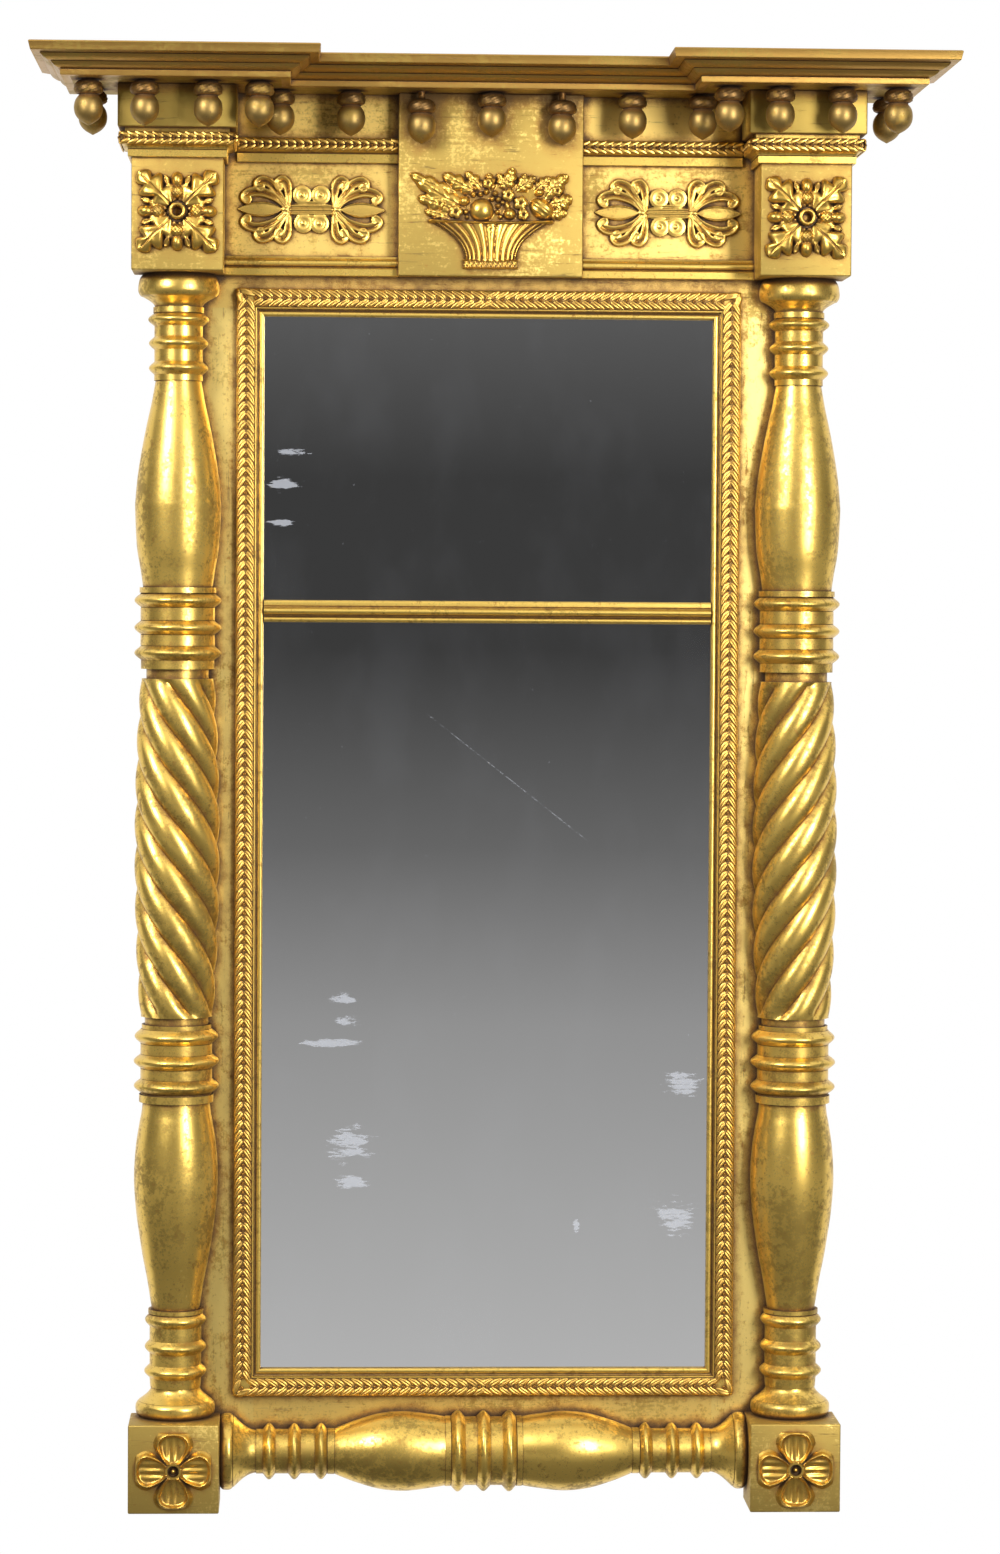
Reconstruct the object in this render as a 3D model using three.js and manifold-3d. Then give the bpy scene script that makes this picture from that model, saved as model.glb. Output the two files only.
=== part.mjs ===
// Gilded pier mirror: a back frame of four boards, split turned columns between corner blocks,
// a turned bottom rail, a panelled frieze with a fruit basket, and a stepped cornice hung with acorns.
// Millimetres. +X is to the viewer's right, -Y towards the viewer, +Z up. The wall plane is Y = 0 and
// the origin is the middle of the header's back face, where the mirror hangs against the wall.
import * as THREE from 'three';
import { mergeVertices } from 'three/addons/utils/BufferGeometryUtils.js';
import Module from 'manifold-3d';

const wasm = await Module();
wasm.setup();

// ---- Driving dimensions -------------------------------------------------------------------------
const touchGap = 0.3; // between pieces that are cut to fit one another

// back frame
const boardThickness = 18; // header, stiles and bottom rail
const columnSpacing = 546; // between the axes of the two columns
const stileOverhang = 15; // stile beyond the column's axis
const headerDrop = 28; // header below the top of the columns
const boardFoot = 30; // stiles and bottom rail above the foot of the blocks
const rebateWidth = 6; // glass behind the sight moulding

// corner blocks
const blockWidth = 79.5;
const blockDepth = 62; // in front of the back frame
const baseBlockHeight = 78;
const friezeFaceHeight = 97; // bare face of the frieze block, below its cap moulding
const capHeight = 25; // cap moulding round the frieze block
const fasciaHeight = 37.5; // from the cap moulding up to the soffit
const fasciaOverhang = 11.5; // fascia block beyond the frieze block, at the front and each side

// cornice
const soffitFrontOverhang = 50; // corona in front of the end fascia
const soffitSideOverhang = 46.5; // corona beyond the end fascia's sides
const centreOverhang = 60; // corona in front of the header, between the end sections
const crownProjection = 26; // top of the crown moulding in front of the corona
const crownHeight = 26.5;
const coronaHeight = 5.5; // flat face at its foot
const crownSteps = 3;
const crownBacking = 8; // crown moulding behind the corona's face
const corniceBoardThickness = 20;

// acorn drops
const acornLength = 38.5;
const acornRadius = 12;
const acornPegRadius = 3;
const acornPeg = 1; // turned peg that shows above a cap
const acornLongPeg = 7; // the same on the two low drops
const acornSetback = 28; // from the corona's front edge to the row's axis
const acornPitch = 61.5; // along the centre section
const endAcornOffsets = [-71, -27, 27, 75]; // from the middle of an end section
const rearAcornFromWall = 38;

// frieze
const tabletWidth = 162;
const tabletThickness = 20;
const friezeBandHeight = 17.5; // double fillet along the foot of each panel
const friezeBandProjection = 10;
const friezeLeafHeight = 22.5; // leaf moulding along the head of each panel
const friezeLeafProjection = 9;

// sight moulding and glass
const flatStrip = 12.7; // bare board between a column's ring and the sight moulding
const flatStripTop = 11; // bare header above the sight moulding
const flatStripBottom = 15.5; // bare rail between the blocks' top and the sight moulding
const sightWidth = 24.5; // across the sight moulding
const sightHeight = 12; // its rise above the boards
const barHeight = 19.5; // divider bar
const barRise = 10;
const upperSightHeight = 249; // visible height of the upper glass
const glassThickness = 3;
const backboardThickness = 6;

// turnings
const turningAxis = 12; // columns' and bottom rail's axis in front of the back frame
const shaftRadius = 37.3; // widest part of the vase turnings
const discRadius = 36; // end discs of a column
const discThickness = 15; // at the foot
const capitalThickness = 19.5; // at the head
const beadRadius = 38; // large beads beside the twist
const smallBeadRadius = 26.5; // beads near a column's ends
const twistRadius = 36.5;
const twistEndRadius = 31;
const twistLength = 297;
const twistLead = 228; // one full turn of a strand
const twistStrands = 6;
const twistDepth = 4.5;
const upperVaseLength = 181;
const lowerVaseLength = 184;
const spindleRadius = 35.5; // bottom rail's centre beads
const spindleEndRadius = 33; // its end discs
const spindleHeight = 45.6; // its axis above the foot of the blocks
const spindleBeadPitch = 23;
const spindleBeadLength = 11.5;
const chamfer = 0.5; // edge where a turning steps from one radius to another

// applied ornament
const rosetteReach = 44; // oak rosette, from its middle to a leaf's tip
const rosetteRelief = 8;
const flowerReach = 30.5;
const flowerRelief = 7;
const palmetteLength = 126;
const palmetteHeight = 60;
const palmetteRelief = 4;
const basketRimWidth = 107;
const basketFootWidth = 49;
const basketHeight = 35; // from the foot band to the rim
const basketBandHeight = 6; // foot band
const basketLift = 13; // top of the foot band above the tablet's foot
const basketRelief = 9;
const fruitRise = 45; // fruit and leaves above the rim
const fruitWidth = 141;
const fruitRelief = 6;

// hanging hardware
const hangerSpacing = 440;
const hangerHeight = 74; // ring's bar above the lower edge of the header
const pocketWidth = 42;
const pocketDepth = 9;
const pocketRoomBelow = 7; // below the ring
const pocketRoomAbove = 5; // above the strap
const strapWidth = 12;
const strapLength = 38;
const strapThickness = 1.4;
const barrelRadius = 3;
const wireRadius = 1.3;
const wireClearance = 0.35; // between the ring's bar and the barrel
const ringRadius = 13;
const ringDrop = 3; // from the bar to the middle of the ring's arc

// facets
const columnSides = 3 * twistStrands;
const spindleSides = 14;
const acornSides = 8;
const twistSteps = 16;
const curveSteps = 3;

// ---- Levels and places worked out from them -----------------------------------------------------
const frontOfBoards = -boardThickness;
const blockFront = frontOfBoards - blockDepth;
const blockX = columnSpacing / 2;
const blockInner = blockX - blockWidth / 2;
const fasciaFront = blockFront - fasciaOverhang;
const fasciaHalf = blockWidth / 2 + fasciaOverhang;
const coronaFront = fasciaFront - soffitFrontOverhang;
const coronaHalf = fasciaHalf + soffitSideOverhang;
const centreCoronaFront = frontOfBoards - centreOverhang;
const stileOuter = blockX + stileOverhang;
const mouldingOuter = blockX - beadRadius - flatStrip;
const sightHalf = mouldingOuter - sightWidth;
const glassHalf = sightHalf + rebateWidth;

/** Rings of a turning, one feature after another. A step between two radii is a small chamfer. */
class Turning {
  constructor(start = 0) {
    this.rings = [];
    this.length = start;
  }

  ring(radius, strand = {}) {
    const last = this.rings.at(-1);
    const stepped = last && this.length - last.at < chamfer;
    if (!stepped || Math.abs(last.radius - radius) > chamfer) {
      this.rings.push({ at: stepped ? last.at + chamfer : this.length, radius, twist: 0, ...strand });
    }
    return this;
  }

  plain(length, radius, endRadius = radius) {
    this.ring(radius);
    this.length += length;
    return this.ring(endRadius);
  }

  /** Rounded bead whose root is the ring before it and the ring after it. */
  bead(length, crestRadius) {
    const start = this.length;
    for (const share of [0.27, 0.73]) {
      this.length = start + length * share;
      this.ring(crestRadius);
    }
    this.length = start + length;
    return this;
  }

  /** Curve from one radius to another: hollow at its narrow end when cove is true, else full. */
  curve(length, startRadius, endRadius, cove = false) {
    const start = this.length;
    const low = Math.min(startRadius, endRadius);
    const rises = endRadius > startRadius;
    for (let step = 0; step <= curveSteps; step++) {
      const share = rises ? step / curveSteps : 1 - step / curveSteps;
      const rise = cove ? 1 - Math.cos((share * Math.PI) / 2) : Math.sin((share * Math.PI) / 2) ** 1.15;
      this.length = start + (length * step) / curveSteps;
      this.ring(low + Math.abs(endRadius - startRadius) * rise);
    }
    return this;
  }
}

/** Three beads with plain bands between them. */
function tripleBead(turning, beadLength, bandLength, root, crest) {
  turning.bead(beadLength, crest).plain(bandLength, root);
  turning.bead(beadLength, crest).plain(bandLength, root);
  return turning.bead(beadLength, crest);
}

/** The column from its foot up: discs, beads, vases and the rope twist. */
function columnTurning() {
  const neck = smallBeadRadius - 3.5;
  const band = beadRadius - 5;
  const turning = new Turning();
  turning.plain(discThickness, discRadius - 1);
  turning.curve(12, discRadius - 3, neck - 1, true);
  turning.plain(8, neck - 1, neck);
  tripleBead(turning, 9.5, 13.5, neck, smallBeadRadius);
  turning.plain(5.5, neck);
  turning.curve(lowerVaseLength * 0.64, neck - 2.5, shaftRadius);
  turning.curve(lowerVaseLength * 0.36, shaftRadius, band - 3);
  turning.plain(6.5, band);
  tripleBead(turning, 11.5, 10.5, band, beadRadius);
  turning.plain(5, band - 2);
  turning.plain(7.5, band - 5);
  twistedLength(turning);
  turning.plain(9, band - 5);
  turning.plain(7.5, band);
  tripleBead(turning, 11.5, 11.5, band, beadRadius);
  turning.plain(6.5, band);
  turning.curve(upperVaseLength * 0.36, band - 3, shaftRadius);
  turning.curve(upperVaseLength * 0.64, shaftRadius, neck - 2.5);
  turning.plain(5.5, neck);
  tripleBead(turning, 9.5, 12, neck, smallBeadRadius);
  turning.plain(6, neck);
  turning.curve(9.5, neck - 1, discRadius - 3, true);
  turning.plain(capitalThickness, discRadius, discRadius - 3);
  return turning;
}

/** Rope twist: a slightly swelling shaft of rounded strands. */
function twistedLength(turning) {
  const start = turning.length;
  for (let step = 0; step <= twistSteps; step++) {
    const share = step / twistSteps;
    const swell = Math.sin(Math.PI * share) ** 0.7;
    turning.length = start + twistLength * share;
    turning.ring(twistEndRadius + (twistRadius - twistEndRadius) * swell, {
      twist: (twistLength / twistLead) * share,
      depth: twistDepth,
    });
  }
}

const column = columnTurning();
const columnTop = baseBlockHeight + column.length;
const capFoot = columnTop + friezeFaceHeight;
const fasciaFoot = capFoot + capHeight;
const soffit = fasciaFoot + fasciaHeight;
const headerFoot = columnTop - headerDrop;
const mouldingTop = columnTop - flatStripTop;
const mouldingFoot = baseBlockHeight + flatStripBottom;
const sightTop = mouldingTop - sightWidth;
const sightFoot = mouldingFoot + sightWidth;
const glassTop = sightTop + rebateWidth;
const glassFoot = sightFoot - rebateWidth;
const barTop = sightTop - upperSightHeight;
const barFoot = barTop - barHeight;
const originHeight = (headerFoot + soffit) / 2;

// ---- Shape helpers --------------------------------------------------------------------------------

/** Closed body from points and faces of three or more corners, with its faces turned outward. */
function body(points, faces) {
  const triangles = [];
  for (const face of faces) {
    for (let corner = 1; corner < face.length - 1; corner++) {
      triangles.push([face[0], face[corner], face[corner + 1]]);
    }
  }
  let volume = 0;
  for (const [a, b, c] of triangles) {
    const [p, q, r] = [points[a], points[b], points[c]].map((point) => new THREE.Vector3(...point));
    volume += p.dot(q.cross(r));
  }
  const index = triangles.flatMap(([a, b, c]) => (volume > 0 ? [a, b, c] : [a, c, b]));
  const geometry = new THREE.BufferGeometry();
  geometry.setAttribute('position', new THREE.Float32BufferAttribute(points.flat(), 3));
  geometry.setIndex(index);
  return geometry;
}

function box(low, high) {
  const size = high.map((value, axis) => value - low[axis]);
  const geometry = new THREE.BoxGeometry(...size);
  return geometry.translate(...low.map((value, axis) => value + size[axis] / 2));
}

/** The same geometry on the other side of the middle plane. */
function mirrored(geometry) {
  const copy = geometry.clone().toNonIndexed();
  copy.deleteAttribute('normal');
  copy.deleteAttribute('uv');
  const position = copy.getAttribute('position');
  for (let corner = 0; corner < position.count; corner += 3) {
    const [first, second, third] = [0, 1, 2].map(
      (offset) => new THREE.Vector3().fromBufferAttribute(position, corner + offset),
    );
    [first, third, second].forEach((point, offset) => {
      position.setXYZ(corner + offset, -point.x, point.y, point.z);
    });
  }
  return mergeVertices(copy, 1e-4);
}

function toSolid(geometry) {
  const bare = geometry.clone();
  bare.deleteAttribute('normal');
  bare.deleteAttribute('uv');
  const merged = mergeVertices(bare, 1e-4);
  return new wasm.Manifold(new wasm.Mesh({
    numProp: 3,
    vertProperties: new Float32Array(merged.getAttribute('position').array),
    triVerts: new Uint32Array(merged.index.array),
  }));
}

function toGeometry(solid) {
  const mesh = solid.getMesh();
  const geometry = new THREE.BufferGeometry();
  geometry.setAttribute('position', new THREE.BufferAttribute(mesh.vertProperties, 3));
  geometry.setIndex(new THREE.BufferAttribute(mesh.triVerts, 1));
  return geometry;
}

/**
 * Turning round the Z axis whose back is cut flat at y = cut. A ring with depth has strands.
 * hand is 1 or -1, the way the strands wind.
 */
function turnedBody(rings, sides, cut, hand = 1) {
  const points = [];
  const faces = [];
  for (const { at, radius, twist, depth = 0 } of rings) {
    for (let side = 0; side < sides; side++) {
      const angle = (2 * Math.PI * side) / sides;
      const valley = Math.abs(Math.sin((angle * twistStrands) / 2));
      const reach = radius - depth * valley;
      const turned = hand * (angle + 2 * Math.PI * twist);
      points.push([reach * Math.cos(turned), Math.min(cut, reach * Math.sin(turned)), at]);
    }
  }
  for (let ring = 0; ring < rings.length - 1; ring++) {
    for (let side = 0; side < sides; side++) {
      const next = (side + 1) % sides;
      const [low, high] = [ring * sides, (ring + 1) * sides];
      faces.push([low + side, low + next, high + next, high + side]);
    }
  }
  const lastRing = (rings.length - 1) * sides;
  points.push([0, 0, rings[0].at], [0, 0, rings.at(-1).at]);
  for (let side = 0; side < sides; side++) {
    const next = (side + 1) % sides;
    faces.push([points.length - 2, next, side]);
    faces.push([points.length - 1, lastRing + side, lastRing + next]);
  }
  return body(points, faces);
}

/**
 * Moulding along a path with mitred corners. profile is a closed ring of [out, up] and out lies to
 * the right of the way the path runs. before and after are the directions of the runs that the ends
 * are mitred to, and an end without one is cut square. place turns (a, b, up) into (x, y, z).
 */
function mouldingRun(profile, path, place, before = null, after = null) {
  const runs = path.slice(1).map(([a, b], i) => new THREE.Vector2(a - path[i][0], b - path[i][1]));
  const ways = [before && new THREE.Vector2(...before), ...runs, after && new THREE.Vector2(...after)];
  const points = path.flatMap(([a, b], i) => {
    const [left, right] = [ways[i] ?? ways[i + 1], ways[i + 1] ?? ways[i]].map((way) => {
      const unit = way.clone().normalize();
      return new THREE.Vector2(unit.y, -unit.x);
    });
    const mitre = left.clone().add(right).divideScalar(1 + left.dot(right));
    return profile.map(([out, up]) => place(a + mitre.x * out, b + mitre.y * out, up));
  });
  const count = profile.length;
  const faces = [];
  for (let run = 0; run < path.length - 1; run++) {
    for (let edge = 0; edge < count; edge++) {
      const next = (edge + 1) % count;
      faces.push([run * count + edge, run * count + next, (run + 1) * count + next,
        (run + 1) * count + edge]);
    }
  }
  const contour = profile.map(([out, up]) => new THREE.Vector2(out, up));
  const last = (path.length - 1) * count;
  const wayRound = Math.sign(THREE.ShapeUtils.area(contour));
  for (const triangle of THREE.ShapeUtils.triangulateShape(contour, [])) {
    const sameWay = Math.sign(THREE.ShapeUtils.area(triangle.map((corner) => contour[corner]))) === wayRound;
    const forward = sameWay ? triangle : [...triangle].reverse();
    faces.push([...forward].reverse());
    faces.push(forward.map((corner) => corner + last));
  }
  return body(points, faces);
}

/** The same profile for a path that keeps its outside on the left. */
function outsideOnLeft(profile) {
  return profile.map(([out, up]) => [-out, up]);
}

/** Relief on the XZ plane, standing towards -Y: rings of [share of the outline, height]. */
function relief(outline, rings, centreHeight) {
  const points = [];
  const faces = [];
  const count = outline.length;
  for (const [share, height] of [[1, 0], ...rings]) {
    for (const [x, z] of outline) points.push([x * share, -height, z * share]);
  }
  for (let ring = 0; ring < rings.length; ring++) {
    for (let side = 0; side < count; side++) {
      const next = (side + 1) % count;
      const [low, high] = [ring * count, (ring + 1) * count];
      faces.push([low + side, low + next, high + next, high + side]);
    }
  }
  points.push([0, 0, 0], [0, -centreHeight, 0]);
  const last = rings.length * count;
  for (let side = 0; side < count; side++) {
    const next = (side + 1) % count;
    faces.push([points.length - 2, next, side]);
    faces.push([points.length - 1, last + side, last + next]);
  }
  return body(points, faces);
}

/** Outline of lobes round a middle: reach(angle) gives the distance out. */
function lobedOutline(count, reach) {
  return Array.from({ length: count }, (_, i) => {
    const angle = (2 * Math.PI * i) / count;
    const distance = reach(angle);
    return [distance * Math.cos(angle), distance * Math.sin(angle)];
  });
}

function extruded(outline, depth) {
  const shape = new THREE.Shape(outline.map(([x, y]) => new THREE.Vector2(x, y)));
  const geometry = new THREE.ExtrudeGeometry(shape, { depth, bevelEnabled: false });
  return geometry.rotateX(Math.PI / 2);
}

// ---- Materials ------------------------------------------------------------------------------------
const finishes = {
  gilding: { color: 0xc39a3a, roughness: 0.38, metalness: 0.9 },
  bronzed: { color: 0x9a7431, roughness: 0.34, metalness: 0.9 },
  mirror: { color: 0x9aa0a0, roughness: 0.05, metalness: 1 },
  pine: { color: 0x8a6a44, roughness: 0.8, metalness: 0 },
  brass: { color: 0xa8853f, roughness: 0.4, metalness: 1 },
};

const part = new THREE.Group();
part.position.z = -originHeight;

function add(name, finish, geometry, x = 0, y = 0, z = 0) {
  const mesh = new THREE.Mesh(geometry, new THREE.MeshStandardMaterial(finishes[finish]));
  mesh.name = name;
  mesh.position.set(x, y, z);
  part.add(mesh);
}

/** The same piece on both sides: the right one as made, the left one mirrored. */
function addPair(name, finish, geometry) {
  add(`right_${name}`, finish, geometry);
  add(`left_${name}`, finish, mirrored(geometry));
}

// ---- Back frame -----------------------------------------------------------------------------------
function header() {
  const board = toSolid(box([-stileOuter, frontOfBoards, headerFoot], [stileOuter, 0, soffit]));
  const pockets = [-1, 1].map((side) => {
    const middle = (side * hangerSpacing) / 2;
    const foot = headerFoot + hangerHeight - ringDrop - ringRadius - wireRadius - pocketRoomBelow;
    const top = headerFoot + hangerHeight + strapLength + pocketRoomAbove;
    return toSolid(box(
      [middle - pocketWidth / 2, -pocketDepth, foot],
      [middle + pocketWidth / 2, pocketDepth, top],
    ));
  });
  return toGeometry(board.subtract(pockets[0]).subtract(pockets[1]));
}

add('header', 'gilding', header());
addPair('stile', 'gilding', box([glassHalf + touchGap, frontOfBoards, boardFoot],
  [stileOuter, 0, headerFoot]));
add('bottom_rail', 'gilding', box([-glassHalf - touchGap, frontOfBoards, boardFoot],
  [glassHalf + touchGap, 0, glassFoot - touchGap]));

// ---- Corner blocks and fascias --------------------------------------------------------------------
addPair('base_block', 'gilding', box([blockInner, blockFront, 0],
  [blockInner + blockWidth, frontOfBoards, baseBlockHeight]));
addPair('frieze_block', 'gilding', box([blockInner, blockFront, columnTop],
  [blockInner + blockWidth, frontOfBoards, fasciaFoot]));
addPair('fascia_block', 'gilding', box([blockX - fasciaHalf, fasciaFront, fasciaFoot],
  [blockX + fasciaHalf, frontOfBoards, soffit]));

/** Fillet, cove and a rounded leaf band that steps out under the fascia. */
const capProfile = [
  [0, 0], [3, 0], [3.5, capHeight * 0.28], [5, capHeight * 0.42], [8.5, capHeight * 0.46],
  [fasciaOverhang - 1, capHeight * 0.66], [fasciaOverhang - 1, capHeight * 0.84],
  [fasciaOverhang - 3, capHeight], [0, capHeight],
];
const blockOutline = [
  [blockInner + blockWidth, frontOfBoards], [blockInner + blockWidth, blockFront],
  [blockInner, blockFront], [blockInner, frontOfBoards],
];
addPair('cap_moulding', 'gilding', mouldingRun(outsideOnLeft(capProfile), blockOutline,
  (a, b, up) => [a, b, capFoot + up]));

// ---- Cornice --------------------------------------------------------------------------------------
/** Flat corona, then rounded steps, with the backing behind. */
const crownStep = crownProjection / crownSteps;
const crownRise = (crownHeight - coronaHeight) / crownSteps;
const crownProfile = [[-crownBacking, 0], [0, 0], [0, coronaHeight]];
for (let step = 0; step < crownSteps; step++) {
  const [out, up] = [crownStep * step, coronaHeight + crownRise * step];
  crownProfile.push([out + crownStep * 0.55, up + crownRise * 0.1]);
  crownProfile.push([out + crownStep, up + crownRise * 0.5]);
  crownProfile.push([out + crownStep, up + crownRise]);
}
crownProfile.push([-crownBacking, crownHeight]);
const cornice = outsideOnLeft(crownProfile);
const placeCornice = (a, b, up) => [a, b, soffit + up];

const endOuter = blockX + coronaHalf;
const endInner = blockX - coronaHalf;
addPair('cornice_moulding', 'gilding', mouldingRun(cornice,
  [[endOuter, 0], [endOuter, coronaFront], [endInner, coronaFront], [endInner, centreCoronaFront]],
  placeCornice, null, [-1, 0]));
add('centre_cornice_moulding', 'gilding', mouldingRun(cornice,
  [[endInner, centreCoronaFront], [-endInner, centreCoronaFront]],
  placeCornice, [0, 1], [0, -1]));

/** Plank inside the mouldings, stepped forward over the two end sections. */
function corniceBoard() {
  const outer = endOuter - crownBacking;
  const inner = endInner + crownBacking;
  const front = -coronaFront - crownBacking;
  const centre = -centreCoronaFront - crownBacking;
  const half = [[outer, 0], [outer, front], [inner, front], [inner, centre]];
  const outline = [...half, ...half.map(([x, depth]) => [-x, depth]).reverse()];
  const shape = new THREE.Shape(outline.map(([x, depth]) => new THREE.Vector2(x, -depth)));
  const plank = new THREE.ExtrudeGeometry(shape, { depth: corniceBoardThickness, bevelEnabled: false });
  return plank.translate(0, 0, soffit);
}

add('cornice_board', 'gilding', corniceBoard());

// ---- Acorn drops ----------------------------------------------------------------------------------
/** Acorn hanging from z = 0: peg, scaly cap and nut with a small point. */
function acorn(peg) {
  const cap = acornLength * 0.29;
  const rings = [
    [0, acornPegRadius], [peg, acornPegRadius], [peg + 0.4, acornRadius * 0.55],
    [peg + cap * 0.45, acornRadius * 0.95], [peg + cap * 0.95, acornRadius],
    [peg + cap, acornRadius * 0.9], [peg + acornLength * 0.55, acornRadius * 0.96],
    [peg + acornLength * 0.82, acornRadius * 0.6], [peg + acornLength, acornRadius * 0.12],
  ].map(([drop, radius]) => ({ at: -drop, radius, twist: 0 }));
  return turnedBody(rings, acornSides, Infinity);
}

const endRow = coronaFront + acornSetback;
const centreRow = centreCoronaFront + acornSetback;
const endNames = ['inner', 'mid_inner', 'mid_outer', 'outer'];
endAcornOffsets.forEach((offset, i) => {
  add(`right_acorn_${endNames[i]}`, 'bronzed', acorn(acornPeg), blockX + offset, endRow, soffit);
  add(`left_acorn_${endNames[i]}`, 'bronzed', acorn(acornPeg), -blockX - offset, endRow, soffit);
});
const rearAcornX = blockX + endAcornOffsets.at(-1);
add('right_acorn_rear', 'bronzed', acorn(acornPeg), rearAcornX, -rearAcornFromWall, soffit);
add('left_acorn_rear', 'bronzed', acorn(acornPeg), -rearAcornX, -rearAcornFromWall, soffit);
for (let place = -3; place <= 3; place++) {
  const peg = Math.abs(place) === 1 ? acornLongPeg : acornPeg;
  add(`centre_acorn_${place + 4}`, 'bronzed', acorn(peg), place * acornPitch, centreRow, soffit);
}

// ---- Frieze ---------------------------------------------------------------------------------------
const tabletHalf = tabletWidth / 2;
const tabletFront = frontOfBoards - tabletThickness;
add('centre_tablet', 'gilding', box([-tabletHalf, tabletFront, columnTop],
  [tabletHalf, frontOfBoards, soffit]));

/** Double fillet with a bead between, along the foot of a panel. */
const bandProfile = [
  [0, 0], [friezeBandProjection, 0], [friezeBandProjection, friezeBandHeight * 0.4],
  [friezeBandProjection * 0.6, friezeBandHeight * 0.45],
  [friezeBandProjection * 0.6, friezeBandHeight * 0.85], [friezeBandProjection * 0.25, friezeBandHeight],
  [0, friezeBandHeight],
];
const leafProfile = [
  [0, 0], [3.5, 0], [4, friezeLeafHeight * 0.38], [friezeLeafProjection * 0.8, friezeLeafHeight * 0.48],
  [friezeLeafProjection, friezeLeafHeight * 0.7], [friezeLeafProjection * 0.8, friezeLeafHeight * 0.92],
  [0, friezeLeafHeight],
];
const placeOnHeader = (foot) => (a, b, up) => [a, frontOfBoards + b, foot + up];

/** Straight moulding on the header between a tablet and a block. */
function friezeStrip(profile, foot, outerEnd) {
  return mouldingRun(outsideOnLeft(profile), [[outerEnd, 0], [tabletHalf, 0]], placeOnHeader(foot));
}

addPair('frieze_base_band', 'gilding', friezeStrip(bandProfile, columnTop, blockInner));
addPair('frieze_leaf_moulding', 'gilding', friezeStrip(leafProfile,
  fasciaFoot - friezeLeafHeight, blockInner - fasciaOverhang + 1 - touchGap));

// ---- Columns and bottom spindle -------------------------------------------------------------------
const turningY = frontOfBoards - turningAxis;
const rightColumn = turnedBody(column.rings, columnSides, turningAxis, 1);
addPair('column', 'gilding', rightColumn.translate(blockX, turningY, baseBlockHeight));

/** Half of the bottom spindle, from the edge of its middle bead outward. */
function spindleHalf() {
  const root = spindleRadius - 4.5;
  const neck = spindleEndRadius - 12.5;
  const inner = new Turning(spindleBeadLength / 2);
  inner.plain(spindleBeadPitch - spindleBeadLength, root);
  inner.bead(spindleBeadLength, spindleRadius);
  inner.plain(4.5, root + 1);
  const outer = new Turning();
  outer.plain(3.5, neck + 1);
  outer.plain(4, neck);
  tripleBead(outer, 9.5, 13.5, neck, neck + 3.8);
  outer.plain(4, neck);
  outer.plain(4, neck + 1.5);
  outer.curve(17.5, neck - 1.5, spindleEndRadius - 2, true);
  outer.plain(11.5, spindleEndRadius);
  const vase = blockInner - inner.length - outer.length;
  inner.curve(vase * 0.37, root - 1, spindleRadius - 0.5);
  inner.curve(vase * 0.63, spindleRadius - 0.5, neck - 0.5);
  const moved = outer.rings.map((ring) => ({ ...ring, at: ring.at + inner.length + chamfer }));
  moved.at(-1).at = blockInner;
  return [...inner.rings, ...moved];
}

function spindle() {
  const half = spindleHalf();
  const middle = new Turning(-spindleBeadLength / 2).bead(spindleBeadLength, spindleRadius);
  const left = half.map((ring) => ({ ...ring, at: -ring.at })).reverse();
  const geometry = turnedBody([...left, ...middle.rings, ...half], spindleSides, turningAxis);
  return geometry.applyMatrix4(new THREE.Matrix4().makeBasis(
    new THREE.Vector3(0, 0, 1), new THREE.Vector3(0, 1, 0), new THREE.Vector3(-1, 0, 0),
  ));
}

add('bottom_spindle', 'gilding', spindle(), 0, turningY, spindleHeight);

// ---- Sight moulding, bar, glass and backboard -----------------------------------------------------
/** From the outer edge in: fillet, leaf band, cove and a bead slip over the glass. */
const sightProfile = [
  [0, 0], [0, sightHeight * 0.55], [2, sightHeight * 0.6], [4, sightHeight * 0.85],
  [10, sightHeight], [16, sightHeight * 0.85], [17, sightHeight * 0.5],
  [sightWidth - 6.5, sightHeight * 0.4], [sightWidth - 5, sightHeight * 0.6],
  [sightWidth - 1.5, sightHeight * 0.5], [sightWidth, sightHeight * 0.25], [sightWidth, 0],
];
const sightCorners = [
  [mouldingOuter, mouldingFoot], [-mouldingOuter, mouldingFoot],
  [-mouldingOuter, mouldingTop], [mouldingOuter, mouldingTop],
];
const sightNames = ['bottom', 'left', 'top', 'right'];
const placeOnBoards = (a, b, up) => [a, frontOfBoards - up, b];
sightNames.forEach((name, i) => {
  const corner = (step) => sightCorners[(i + step + 4) % 4];
  const way = (from, to) => [to[0] - from[0], to[1] - from[1]];
  add(`${name}_sight_moulding`, 'gilding', mouldingRun(sightProfile, [corner(0), corner(1)],
    placeOnBoards, way(corner(-1), corner(0)), way(corner(1), corner(2))));
});

const barProfile = [
  [0, 0], [0, barRise * 0.5], [barHeight * 0.1, barRise * 0.7], [barHeight * 0.25, barRise * 0.7],
  [barHeight * 0.35, barRise], [barHeight * 0.62, barRise], [barHeight * 0.72, barRise * 0.55],
  [barHeight * 0.82, barRise * 0.75], [barHeight, barRise * 0.4], [barHeight, 0],
];
const barEnd = sightHalf - touchGap;
add('divider_bar', 'gilding', mouldingRun(barProfile, [[-barEnd, barTop], [barEnd, barTop]],
  placeOnBoards));

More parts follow.
